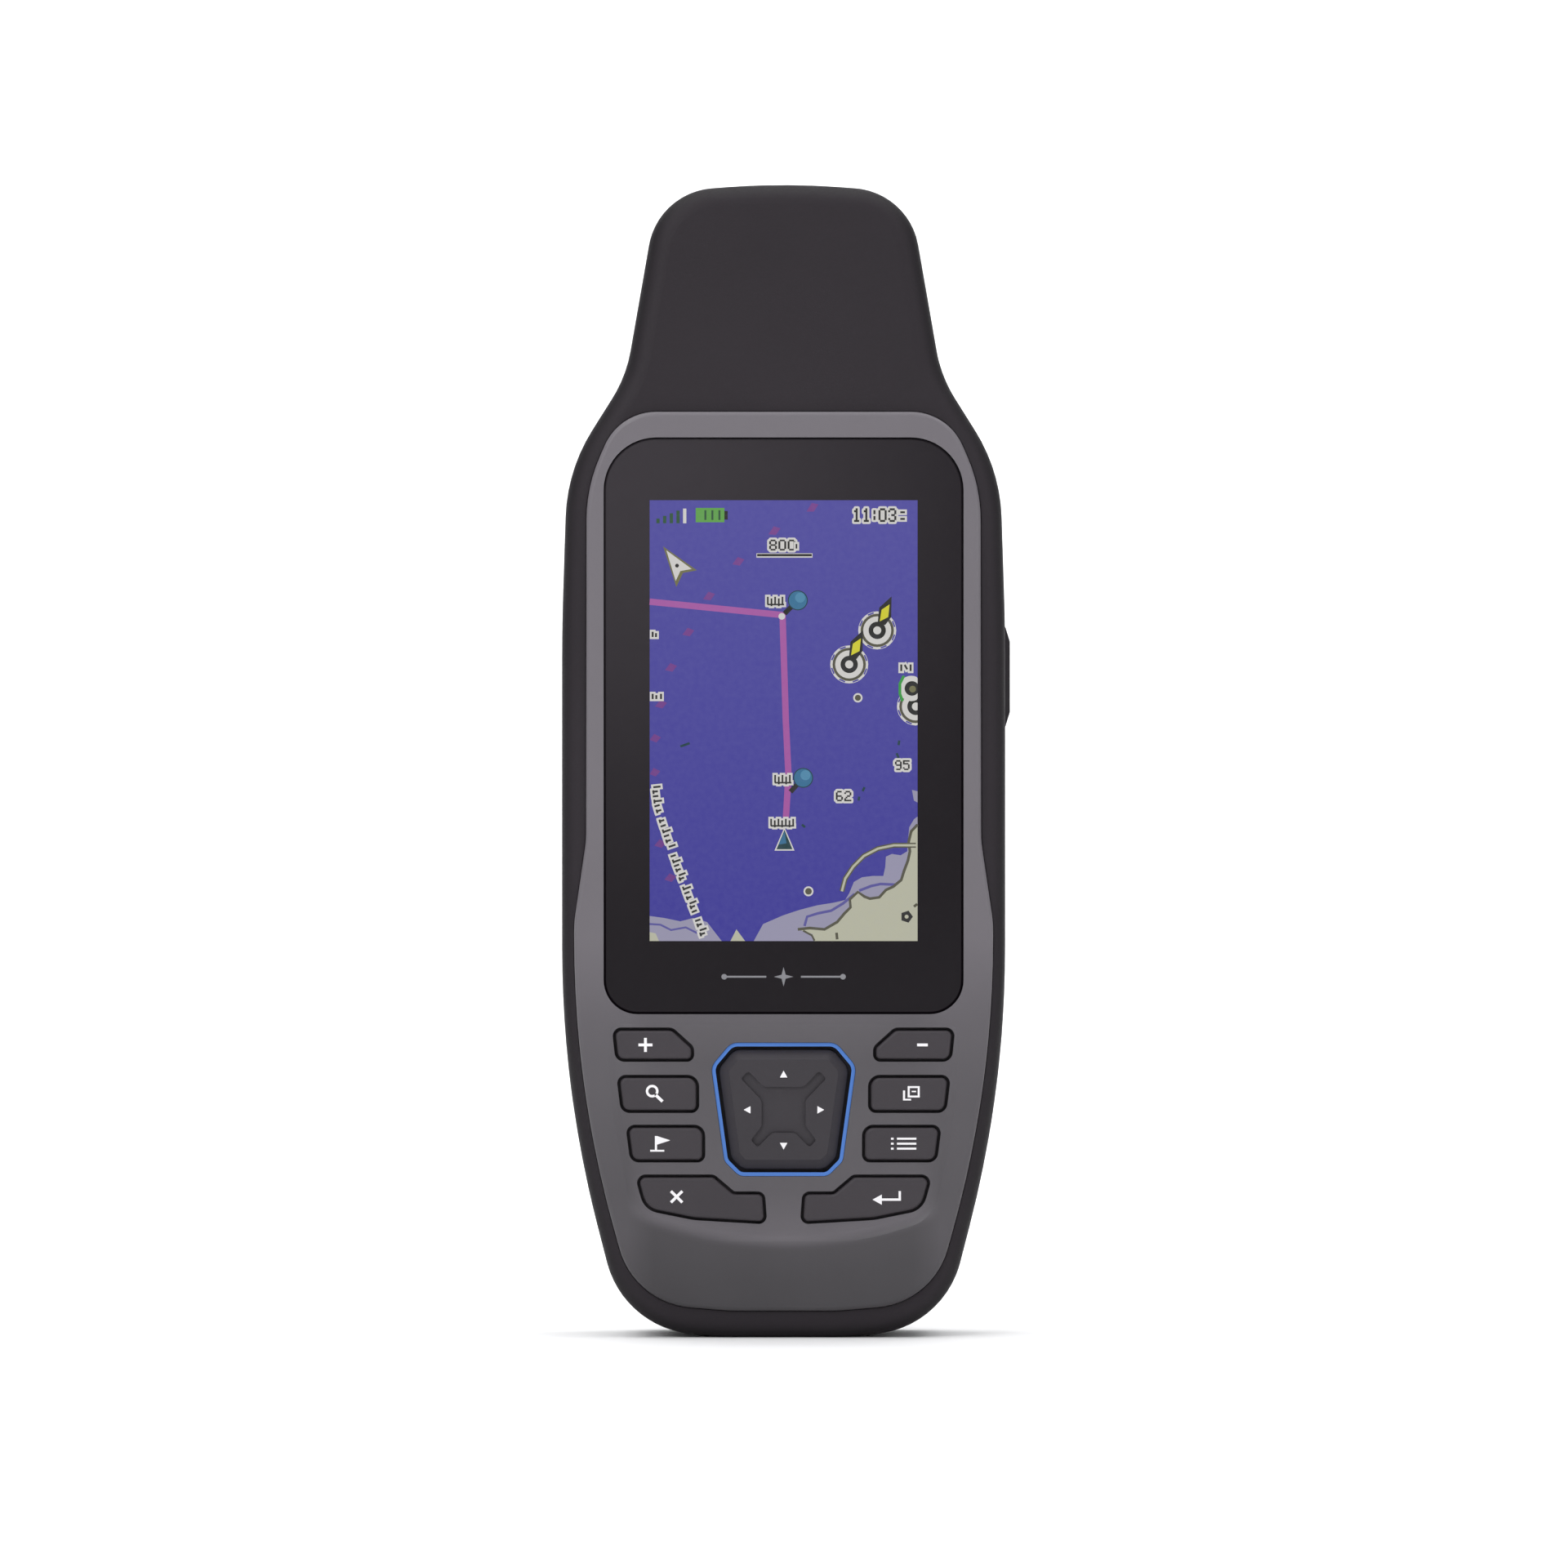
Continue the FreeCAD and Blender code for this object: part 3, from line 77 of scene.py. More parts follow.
class Nodes:
    """Short names for adding and wiring shader nodes."""

    def __init__(self, name):
        self.material = bpy.data.materials.new(name)
        self.material.use_nodes = True
        self.tree = self.material.node_tree
        self.shader = self.tree.nodes["Principled BSDF"]
        self.place = self.add("ShaderNodeTexCoord").outputs["Object"]

    def add(self, kind, **values):
        node = self.tree.nodes.new(kind)
        for key, value in values.items():
            if key in node.inputs:
                node.inputs[key].default_value = value
            else:
                setattr(node, key, value)
        return node

    def wire(self, output, target):
        self.tree.links.new(output, target)

    def noise(self, scale, detail=2.0, stretch=None):
        node = self.add("ShaderNodeTexNoise", Scale=scale, Detail=detail)
        source = self.place
        if stretch:
            mapping = self.add("ShaderNodeMapping", Scale=stretch)
            self.wire(source, mapping.inputs["Vector"])
            source = mapping.outputs["Vector"]
        self.wire(source, node.inputs["Vector"])
        return node.outputs["Fac"]

    def spread(self, factor, low, high):
        """A noise value stretched to run from low to high."""
        return self.span(factor, 0.3, 0.7, low, high)

    def span(self, source, start, end, low=0.0, high=1.0, curve="LINEAR"):
        """The source's values between start and end, taken to low and high and clamped there."""
        limits = {"From Min": start, "From Max": end, "To Min": low, "To Max": high}
        node = self.add("ShaderNodeMapRange", **limits)
        node.interpolation_type = curve
        self.wire(source, node.inputs["Value"])
        return node.outputs["Result"]

    def mix(self, factor, first, second):
        node = self.add("ShaderNodeMix", data_type="RGBA")
        self.wire(factor, node.inputs["Factor"])
        for socket, value in ((node.inputs[6], first), (node.inputs[7], second)):
            if isinstance(value, tuple):
                socket.default_value = value
            else:
                self.wire(value, socket)
        return node.outputs[2]

    def bump(self, heights):
        """Bumps laid over each other, given as (height output, distance in metres)."""
        last = None
        for height, distance in heights:
            node = self.add("ShaderNodeBump", Strength=1.0, Distance=distance)
            self.wire(height, node.inputs["Height"])
            if last:
                self.wire(last, node.inputs["Normal"])
            last = node.outputs["Normal"]
        self.wire(last, self.shader.inputs["Normal"])


MOTTLE_SIZE = 22
SIDE_SHADE_TURN = (0.55, 0.97)


def moulded(name, colour, rough, grain=0.35, depth=0.012, mottle=0.05, metallic=0.0, coat=0.0, gloss=0.5,
            stretch=None, sides=None):
    """Moulded plastic, rubber, paint or metal: fine grain, uneven gloss and slight mottling. Sizes are in mm.

    sides, if given, is the tone of a painted shade on the faces that turn away from the front and back,
    darker where they turn sideways from the light.
    """
    n = Nodes(name)
    fine = n.noise(1 / (grain * MM), 3.0, stretch)
    broad = n.noise(1 / (MOTTLE_SIZE * MM), 2.0)
    tone = n.mix(n.spread(broad, 0, 1), scaled(colour, 1 - mottle), scaled(colour, 1 + mottle))
    # painted shade: faces that turn sideways take the darker sides tone
    if sides:
        split = n.add("ShaderNodeSeparateXYZ")
        n.wire(n.add("ShaderNodeNewGeometry").outputs["Normal"], split.inputs["Vector"])
        depthwise = n.add("ShaderNodeMath", operation="ABSOLUTE")
        n.wire(split.outputs["Y"], depthwise.inputs[0])
        unshaded_share = n.span(depthwise.outputs["Value"], *SIDE_SHADE_TURN, curve="SMOOTHSTEP")
        tone = n.mix(unshaded_share, scaled(colour, sides), tone)
    n.wire(tone, n.shader.inputs["Base Color"])
    n.wire(n.spread(fine, rough - 0.05, rough + 0.05), n.shader.inputs["Roughness"])
    n.bump([(fine, depth * MM)])
    n.shader.inputs["Metallic"].default_value = metallic
    n.shader.inputs["Coat Weight"].default_value = coat
    n.shader.inputs["Coat Roughness"].default_value = 0.12
    n.shader.inputs["Specular IOR Level"].default_value = gloss
    return n.material


def printed_board(name):
    """Solder mask with faint copper tracks below it."""
    n = Nodes(name)
    tracks = n.add("ShaderNodeTexVoronoi", feature="DISTANCE_TO_EDGE", distance="CHEBYCHEV", Scale=420.0)
    n.wire(n.place, tracks.inputs["Vector"])
    mask = n.span(tracks.outputs["Distance"], 0.02, 0.06)
    n.wire(n.mix(mask, linear(66, 128, 76), linear(22, 74, 44)), n.shader.inputs["Base Color"])
    n.shader.inputs["Roughness"].default_value = 0.32
    n.bump([(mask, 0.02 * MM)])
    return n.material


def painted_shade_ramp(nodes, height, colour, steps):
    """A ramp of painted shade over a height in metres; steps are (height in mm, tone) from the foot up."""
    low, high = steps[0][0], steps[-1][0]
    ramp = nodes.add("ShaderNodeValToRGB")
    nodes.wire(nodes.span(height, low * MM, high * MM), ramp.inputs["Fac"])
    while len(ramp.color_ramp.elements) < len(steps):
        ramp.color_ramp.elements.new(1.0)
    for element, (z, tone) in zip(ramp.color_ramp.elements, steps):
        element.position = (z - low) / (high - low)
        element.color = scaled(colour, tone)
    return ramp.outputs["Color"]


MIDDLE_TO_SIDES = (19.5, 23.5)


def plate_paint(name, colour, middle, sides, bow):
    """Satin grey paint with painted shade and painted highlight that change with height: darker at the chin
    and around the keys, lighter on the upward sweep over the keypad ledge; the middle and the sides have
    their own steps.

    The middle's heights bow down, as the plate's keypad ledge does; bow is in 1/m.
    """
    n = Nodes(name)
    split = n.add("ShaderNodeSeparateXYZ")
    n.wire(n.place, split.inputs["Vector"])
    squared = n.add("ShaderNodeMath", operation="MULTIPLY")
    n.wire(split.outputs["X"], squared.inputs[0])
    n.wire(split.outputs["X"], squared.inputs[1])
    bowed = n.add("ShaderNodeMath", operation="MULTIPLY_ADD")
    n.wire(squared.outputs["Value"], bowed.inputs[0])
    bowed.inputs[1].default_value = -bow
    n.wire(split.outputs["Z"], bowed.inputs[2])
    aside = n.span(squared.outputs["Value"], *[(x * MM) ** 2 for x in MIDDLE_TO_SIDES])
    # painted shade and painted highlight: tone ramps over height for the middle and the sides
    tone = n.mix(aside, painted_shade_ramp(n, bowed.outputs["Value"], colour, middle),
                 painted_shade_ramp(n, split.outputs["Z"], colour, sides))
    broad = n.noise(1 / (30 * MM), 2.0)
    fine = n.noise(1 / (0.22 * MM), 3.0)
    n.wire(n.mix(n.spread(broad, 0, 0.04), tone, linear(150, 148, 152)), n.shader.inputs["Base Color"])
    n.wire(n.spread(fine, 0.4, 0.5), n.shader.inputs["Roughness"])
    n.shader.inputs["Specular IOR Level"].default_value = 0.35
    n.bump([(fine, 0.006 * MM)])
    return n.material


def window_black(name, colour, painted_sheen, x, z, reach):
    """The dark printed border behind the window, with a painted reflection: a soft sheen in its colour that
    fades away from one corner.
    """
    n = Nodes(name)
    away = n.add("ShaderNodeVectorMath", operation="DISTANCE")
    n.wire(n.place, away.inputs[0])
    away.inputs[1].default_value = (x * MM, 0.0, z * MM)
    # painted reflection: the border's colour pales towards one corner, as a softbox's reflection would
    fade = n.span(away.outputs["Value"], 0.0, reach * MM, 1.0, 0.0, "SMOOTHSTEP")
    n.wire(n.mix(fade, colour, painted_sheen), n.shader.inputs["Base Color"])
    fine = n.noise(1 / (3 * MM), 3.0)
    n.wire(n.spread(fine, 0.28, 0.31), n.shader.inputs["Roughness"])
    n.shader.inputs["Specular IOR Level"].default_value = 0.25
    n.bump([(fine, 0.0002 * MM)])
    return n.material


def display_ink(name, colour, top_colour, low_z, high_z):
    """A lit display colour that pales a little towards the top, with a faint cell texture."""
    n = Nodes(name)
    split = n.add("ShaderNodeSeparateXYZ")
    n.wire(n.place, split.inputs["Vector"])
    tone = n.mix(n.span(split.outputs["Z"], low_z, high_z), colour, top_colour)
    cells = n.noise(1 / (0.9 * MM), 3.0)
    lit = n.mix(n.spread(cells, 0, 0.05), tone, linear(150, 150, 190))
    dim = n.mix(n.spread(cells, 0, 0.05), scaled(colour, 0.1), scaled(colour, 0.15))
    n.wire(dim, n.shader.inputs["Base Color"])
    n.wire(lit, n.shader.inputs["Emission Color"])
    n.shader.inputs["Emission Strength"].default_value = 0.85
    n.shader.inputs["Roughness"].default_value = 0.3
    n.shader.inputs["Specular IOR Level"].default_value = 0.3
    return n.material


# the case's sides are darkened by painted shade (sides=0.55)
CASE = moulded("case_plastic", linear(42, 38, 42), 0.58, grain=0.3, depth=0.014, gloss=0.14, sides=0.55)
RUBBER = moulded("seal_rubber", linear(24, 22, 24), 0.6, grain=0.4, depth=0.01, gloss=0.2)
KEY_RUBBER = moulded("key_rubber", linear(58, 54, 58), 0.52, grain=0.22, depth=0.008, gloss=0.26)
ROCKER_RUBBER = moulded("rocker_rubber", linear(56, 53, 57), 0.52, grain=0.22, depth=0.008, gloss=0.22)
BUTTON_RUBBER = moulded("button_rubber", linear(50, 46, 50), 0.55, grain=0.25, depth=0.01, gloss=0.25)
MAT_RUBBER = moulded("mat_rubber", linear(24, 22, 24), 0.62, grain=0.4, depth=0.01, gloss=0.2)
BLUE = moulded("ring_blue", linear(72, 118, 192), 0.4, grain=0.3, depth=0.003, mottle=0.08, gloss=0.3)
INNER = moulded("inner_plastic", linear(60, 60, 64), 0.5)
STEEL = moulded("sheet_steel", linear(168, 168, 170), 0.3, grain=0.2, depth=0.004, metallic=1.0,
                stretch=(1, 1, 14))
BRIGHT = moulded("plated_steel", linear(190, 190, 194), 0.22, grain=0.3, depth=0.003, metallic=1.0)
LATCH = moulded("latch_steel", linear(160, 160, 164), 0.34, grain=0.18, depth=0.006, metallic=1.0,
                stretch=(10, 1, 1))
SCREW = moulded("screw_steel", linear(92, 92, 96), 0.36, grain=0.2, depth=0.005, metallic=1.0)
DIFFUSER = moulded("diffuser", linear(225, 225, 220), 0.5)
CERAMIC = moulded("ceramic", linear(214, 206, 190), 0.6, grain=0.5)
COPPER = moulded("aerial_copper", linear(196, 124, 82), 0.3, metallic=1.0)
SLEEVE = moulded("cell_sleeve", linear(188, 132, 66), 0.3, grain=0.5, depth=0.003, coat=0.4)
BOARD = printed_board("solder_mask")
# painted shade and painted highlight down the face plate: a dark chin, a lit band over the keypad ledge,
# darker around the keys
PLATE_MIDDLE_SHADE = ((0, 0.28), (9, 0.31), (13.4, 0.36), (15, 0.82), (22, 0.62), (40, 0.54), (48, 0.66),
                (62, 0.84), (85, 1.0), (139, 1.0))
PLATE_SIDES_SHADE = ((0, 0.36), (10, 0.42), (16, 0.5), (22, 0.47), (34, 0.54), (42, 0.62), (48, 0.7), (60, 0.94),
               (70, 0.95), (85, 1.0), (139, 1.0))
PLATE = plate_paint("plate_paint", linear(103, 99, 104), PLATE_MIDDLE_SHADE, PLATE_SIDES_SHADE, 8.5)

NODE_MATERIAL = {
    CASE: ["front_shell", "rear_shell", "battery_door"],
    RUBBER: ["shell_seal", "lens_gasket", "door_seal", "port_cap"],
    KEY_RUBBER: [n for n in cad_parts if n.startswith("key_") and n != "key_domes"],
    ROCKER_RUBBER: ["rocker_pad"],
    BUTTON_RUBBER: ["power_button"],
    MAT_RUBBER: ["keypad_mat"],
    BLUE: ["rocker_ring"],
    INNER: ["rocker_pivot", "rocker_post", "power_switch", "buzzer"],
    STEEL: ["lcd_frame", "radio_shield", "logic_shield", "card_slot", "data_port"],
    BRIGHT: ["key_domes", "backup_cell", "battery_springs", "battery_contacts"],
    LATCH: ["latch_screw", "d_ring"],
    SCREW: ["case_screws", "board_screws"],
    DIFFUSER: ["lcd_backlight", "lcd_panel"],
    CERAMIC: ["aerial_core"],
    COPPER: ["aerial_bands"],
    SLEEVE: ["battery_left", "battery_right"],
    BOARD: ["keypad_board", "main_board", "port_carrier", "aerial_board"],
    PLATE: ["face_plate"],
}
for material, names in NODE_MATERIAL.items():
    for name in names:
        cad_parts[name].data.materials.clear()
        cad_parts[name].data.materials.append(material)


# ---------------------------------------------------------------- flat drawings

def disc(x, y, radius, sides=28):
    turns = [math.tau * i / sides for i in range(sides)]
    return [(x + radius * math.cos(turn), y + radius * math.sin(turn)) for turn in turns]


def bar(x0, y0, x1, y1):
    return [(x0, y0), (x1, y0), (x1, y1), (x0, y1)]


def rounded(x0, y0, x1, y1, radius, steps=6):
    """A rectangle with rounded corners."""
    points = []
    for cx, cy, start in ((x1 - radius, y1 - radius, 0), (x0 + radius, y1 - radius, 90),
                          (x0 + radius, y0 + radius, 180), (x1 - radius, y0 + radius, 270)):
        for i in range(steps + 1):
            angle = math.radians(start + 90 * i / steps)
            points.append((cx + radius * math.cos(angle), cy + radius * math.sin(angle)))
    return points


def stroke(points, width):
    """A line of some width through the points, with mitred bends."""
    left, right = [], []
    for i, (x, y) in enumerate(points):
        x0, y0 = points[max(i - 1, 0)]
        x1, y1 = points[min(i + 1, len(points) - 1)]
        run = math.hypot(x1 - x0, y1 - y0)
        nx, ny = (y1 - y0) / run * width / 2, (x0 - x1) / run * width / 2
        left.append((x + nx, y + ny))
        right.append((x - nx, y - ny))
    return left + right[::-1]


def covers(outline, x, y):
    """Whether a point lies inside an outline."""
    inside = False
    x0, y0 = outline[-1]
    for x1, y1 in outline:
        if (y0 > y) != (y1 > y) and x < x0 + (y - y0) / (y1 - y0) * (x1 - x0):
            inside = not inside
        x0, y0 = x1, y1
    return inside


def partition(outlines):
    """Splits overlapping outlines into triangles, each with the number of the last outline that covers it."""
    points, edges, spans = [], [], []
    for outline in outlines:
        first, count = len(points), len(outline)
        points += [Vector(p) for p in outline]
        edges += [(first + i, first + (i + 1) % count) for i in range(count)]
        xs, ys = zip(*outline)
        spans.append((min(xs), max(xs), min(ys), max(ys)))
    flat, _, triangles, _, _, _ = delaunay_2d_cdt(points, edges, [], 0, 1e-5)
    painted = []
    for triangle in triangles:
        x = sum(flat[i].x for i in triangle) / 3
        y = sum(flat[i].y for i in triangle) / 3
        for owner in range(len(outlines) - 1, -1, -1):
            x0, x1, y0, y1 = spans[owner]
            if x0 < x < x1 and y0 < y < y1 and covers(outlines[owner], x, y):
                painted.append((triangle, owner))
                break
    return flat, painted


def mesh_object(name, points, faces, materials, indices):
    mesh = bpy.data.meshes.new(name)
    mesh.from_pydata(points, [], faces)
    for material in materials:
        mesh.materials.append(material)
    mesh.polygons.foreach_set("material_index", indices)
    mesh.update()
    made = bpy.data.objects.new(name, mesh)
    bpy.context.scene.collection.objects.link(made)
    return made


# ---------------------------------------------------------------- display window and its chart

lens_low, lens_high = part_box("display_lens")
panel_low, panel_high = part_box("lcd_panel")
SCREEN_W, SCREEN_H = 40.14, 66.05
screen_left = (panel_low.x + panel_high.x) / 2 / MM - SCREEN_W / 2
screen_top = panel_high.z / MM - 2.4

INKS = {}


def ink(name, colour, top=None):
    INKS[name] = display_ink("ink_" + name, linear(*colour), linear(*(top or colour)),
                             (screen_top - SCREEN_H) * MM, screen_top * MM)


ink("water", (58, 54, 146), (84, 80, 158))
ink("shallow", (148, 145, 168))
ink("shallow_edge", (88, 84, 150))
ink("land", (179, 179, 159))
ink("coast", (84, 82, 66))
ink("route", (158, 78, 152), (166, 96, 162))
ink("white", (206, 204, 200))
ink("dark", (40, 40, 34))
ink("olive", (112, 110, 74))
ink("teal", (50, 104, 140), (60, 116, 150))
ink("teal_light", (78, 134, 166))
ink("teal_dark", (30, 62, 66))
ink("yellow", (206, 200, 46))
ink("red", (104, 54, 128), (122, 70, 140))
ink("green", (96, 158, 74))
ink("green_dark", (50, 84, 56))
ink("beacon", (58, 150, 62))

# the top left of the lens border is made paler by a painted reflection
LENS_BLACK = window_black("lens_black", linear(12, 6, 12), linear(52, 48, 52), -27, 137, 88)
PRINT_GREY = moulded("print_grey", linear(122, 122, 126), 0.35, grain=0.3, depth=0.001)

chart = []


def paint(colour, *outlines):
    for outline in outlines:
        chart.append((colour, outline))


def clip(points):
    """Keeps a drawing inside the display."""
    return [(min(max(x, 0), SCREEN_W), min(max(y, 0), SCREEN_H)) for x, y in points]


DIGITS = {
    "0": "01110 10001 10001 10001 10001 10001 01110", "1": "00100 01100 00100 00100 00100 00100 01110",
    "2": "01110 10001 00001 00110 01000 10000 11111", "3": "01110 10001 00001 00110 00001 10001 01110",
    "5": "11111 10000 11110 00001 00001 10001 01110", "6": "01110 10000 10000 11110 10001 10001 01110",
    "8": "01110 10001 10001 01110 10001 10001 01110", "9": "01110 10001 10001 01111 00001 00001 01110",
    ":": "000 010 010 000 010 010 000",
}


def number_label(text, x, y, dot, tall):
    """Dark digits with a pale halo; x, y is their top left corner and dot, tall the size of their dots."""
    cursor = x
    halo, marks = [], []
    for letter in text:
        rows = DIGITS[letter].split()
        for j, row in enumerate(rows):
            start = None
            for i, bit in enumerate(row + "0"):
                if bit == "1" and start is None:
                    start = i
                elif bit == "0" and start is not None:
                    x0, x1, y0 = cursor + start * dot, cursor + (i + 0.35) * dot, y + j * tall
                    marks.append(bar(x0, y0, x1, y0 + 1.1 * tall))
                    halo.append(rounded(x0 - 0.3, y0 - 0.3, x1 + 0.3, y0 + 1.1 * tall + 0.3, 0.25, 2))
                    start = None
        cursor += (len(rows[0]) + 1.3) * dot
    paint("white", *halo)
    paint("dark", *marks)


def dashes(marks):
    """Dark dashes on pale halos, where a chart would have words; each is (x, y, half length, tilt, width)."""
    runs = []
    for x, y, half, tilt, width in marks:
        dx, dy = half * math.cos(math.radians(tilt)), half * math.sin(math.radians(tilt))
        reach = 1 + 0.3 / half
        runs.append(([(x - dx, y - dy), (x + dx, y + dy)], width))
        ends = [(x - dx * reach, y - dy * reach), (x + dx * reach, y + dy * reach)]
        paint("white", stroke(ends, width + 0.55))
    for run, width in runs:
        paint("dark", stroke(run, width))


def name_label(x, y, width, height):
    """A tag of dashes in a space of some width and height."""
    pitch = 0.55
    marks = [(x + 0.3 + pitch * i, y + height * (0.4 + 0.12 * (i % 2)), 0.28 * height, 90, 0.26)
             for i in range(int(width / pitch))]
    marks.append((x + width / 2, y + height * 0.68, width / 2 - 0.25, 0, 0.24))
    dashes(marks)


def buoy(x, y, flag_x, flag_y):
    """A ringed light buoy with a yellow flag."""
    for colour, radius in (("white", 2.85), ("coast", 2.5), ("white", 2.1), ("dark", 1.3), ("white", 0.6)):
        paint(colour, clip(disc(x, y, radius)))
    for i in range(8):
        a, b = math.tau * (i + 0.3) / 8, math.tau * (i + 0.75) / 8
        paint("water", clip(stroke([(x + 2.68 * math.cos(a), y + 2.68 * math.sin(a)),
                                    (x + 2.68 * math.cos(b), y + 2.68 * math.sin(b))], 0.22)))
    paint("dark", clip(stroke([(x + 0.2, y - 0.7), (flag_x - 0.2, flag_y + 0.3)], 0.42)))
    for colour, flag in (("dark", [(-0.75, 0.9), (-0.5, -1.5), (1.35, -3.2), (1.3, -0.1), (0.4, 1.1)]),
                         ("yellow", [(-0.42, 0.55), (-0.15, -1.2), (1.05, -2.0), (0.85, -0.1)])):
        paint(colour, clip([(flag_x + u, flag_y + v) for u, v in flag]))


def waypoint(x, y, foot_x, foot_y):
    """A round pin head with its stem."""
    paint("dark", stroke([(foot_x, foot_y), (x, y)], 0.75))
    paint("teal_dark", disc(x, y, 1.5))
    paint("teal", disc(x, y, 1.35))
    paint("teal_light", disc(x + 0.35, y - 0.4, 0.75))


paint("water", bar(0, 0, SCREEN_W, SCREEN_H))
# restricted area: a broken red line down the left side
for x, y, lean in ((24.4, 1.1, 1.2), (18.7, 4.6, 1.0), (13.3, 9.2, 0.8), (8.9, 14.4, 0.9), (5.8, 19.8, 0.7),
                   (3.2, 25.1, 0.7), (1.7, 30.6, 0.6), (0.8, 35.7, 0.4), (0.7, 40.8, 0.5), (1.6, 51.5, 0.5),
                   (3.1, 56.6, 0.5)):
    paint("red", clip([(x - 0.9, y + 0.5 * lean), (x - 0.1, y - 0.7), (x + 0.9, y - 0.4 * lean),
                       (x + 0.2, y + 0.6)]))
# shallows and land
SHALLOW = [(15.6, 66.05), (17.0, 63.5), (20.0, 62.2), (22.4, 61.4), (25.1, 60.7), (27.6, 60.3),
           (29.3, 59.9), (29.9, 58.9), (30.6, 57.2), (31.8, 56.5), (33.4, 56.3), (35.0, 56.3),
           (35.3, 55.0), (35.4, 53.4), (36.3, 53.0), (37.6, 53.2), (38.6, 52.6), (38.7, 51.0),
           (38.9, 49.0), (39.6, 47.8), (40.14, 47.4), (40.14, 66.05)]
COAST = [(22.2, 64.3), (24.0, 64.1), (26.2, 64.3), (28.1, 63.2), (29.2, 61.9), (30.1, 61.0), (30.0, 59.8),
         (31.2, 58.7), (32.2, 59.4), (33.0, 59.7), (34.4, 59.5), (35.4, 58.4), (36.5, 57.9), (37.7, 56.9),
         (38.1, 55.6), (38.7, 54.0), (39.0, 52.6), (38.8, 51.2), (39.2, 49.6), (40.14, 48.6)]
paint("shallow", SHALLOW)
paint("shallow", [(0, 62.3), (2.2, 62.6), (4.6, 63.1), (6.5, 62.6), (8.6, 63.2), (9.9, 64.9), (10.8, 66.05),
                  (0, 66.05)])
paint("shallow_edge", stroke([(0, 63.5), (1.6, 63.6), (3.2, 64.4), (5.4, 64.0), (7.2, 64.9)], 0.3))
paint("land", [(0, 64.7), (0.9, 64.9), (1.4, 66.05), (0, 66.05)])
paint("land", [(12.1, 66.05), (13.0, 64.3), (14.3, 66.05)])
paint("shallow", clip([(39.3, 43.4), (40.14, 43.6), (40.14, 45.3), (39.6, 45.0)]))
paint("shallow_edge", stroke([(23.2, 63.8), (23.6, 62.4), (25.2, 61.9), (27.2, 61.5), (29.0, 60.4),
                              (30.7, 59.0)], 0.4))
paint("shallow_edge", stroke([(31.4, 58.5), (33.2, 57.8), (34.6, 57.5), (36.8, 57.6)], 0.4))
paint("land", COAST + [(40.14, 66.05), (24.7, 66.05), (24.4, 65.0)])
paint("coast", stroke(COAST, 0.42))
paint("coast", stroke([(23.0, 64.5), (24.3, 65.2), (24.7, 66.0)], 0.3),
      stroke([(28.0, 64.8), (28.1, 65.8)], 0.4),
      stroke([(39.6, 60.9), (40.1, 60.5)], 0.4))
ARC = [(28.8, 58.6), (29.3, 56.7), (30.5, 54.9), (32.1, 53.3), (34.2, 52.2), (36.6, 51.7), (39.9, 51.7)]
paint("coast", stroke(ARC, 0.75))
paint("land", stroke(ARC, 0.34))
paint("dark", disc(38.5, 62.4, 0.95, 5))
paint("land", disc(38.5, 62.4, 0.3, 12))
# route, waypoints and the boat
paint("route", stroke([(0.0, 15.2), (19.9, 17.2)], 0.95),
      stroke([(19.9, 16.8), (20.4, 33.0), (20.8, 41.2), (20.4, 47.9)], 0.95))
paint("white", disc(19.8, 17.4, 0.5))
waypoint(22.2, 15.0, 20.2, 17.0)
name_label(17.4, 14.2, 3.0, 2.1)
waypoint(23.0, 41.6, 21.1, 43.7)
name_label(18.5, 40.9, 3.0, 2.1)
name_label(17.9, 47.5, 4.0, 1.9)
paint("white", [(18.7, 52.5), (20.2, 49.0), (21.7, 52.5)])
paint("teal_dark", [(19.0, 52.3), (20.2, 49.4), (21.4, 52.3)])
paint("teal", [(19.3, 51.6), (20.2, 49.6), (20.5, 51.4)])
# buoys and soundings
buoy(34.1, 19.5, 34.9, 17.6)
buoy(29.9, 24.6, 30.6, 22.7)
buoy(39.9, 30.9, 41.5, 28.0)
paint("white", clip(disc(39.2, 28.2, 1.9)))
paint("dark", clip(disc(39.3, 28.2, 1.1)))
paint("olive", clip(disc(39.4, 28.3, 0.5)))
dashes([(37.7, 25.1, 0.5, 90, 0.3), (38.4, 25.0, 0.4, 60, 0.3), (39.1, 25.1, 0.5, 90, 0.3)])
paint("beacon", stroke([(38.1, 26.3), (37.5, 27.5), (37.5, 29.0), (37.9, 30.1)], 0.42))
paint("white", disc(31.2, 29.6, 0.7))
paint("coast", disc(31.2, 29.6, 0.45))
paint("white", disc(23.8, 58.6, 0.75, 16))
paint("coast", disc(23.8, 58.6, 0.5, 16))
number_label("95", 36.75, 38.95, 0.19, 0.21)
number_label("62", 27.9, 43.55, 0.2, 0.22)
for points in ([(37.0, 37.9), (37.3, 38.6)], [(37.4, 36.0), (37.3, 36.7)], [(32.2, 43.0), (31.9, 43.6)],
               [(31.4, 44.4), (31.3, 45.0)], [(22.8, 48.6), (23.3, 49.0)], [(4.6, 36.9), (6.0, 36.4)]):
    paint("teal_dark", stroke(points, 0.35))
dashes([(0.45, 20.1, 0.4, 90, 0.3), (0.95, 20.2, 0.3, 90, 0.3),
        (0.45, 29.4, 0.4, 90, 0.3), (1.0, 29.5, 0.3, 90, 0.3), (1.7, 29.4, 0.4, 90, 0.3)])
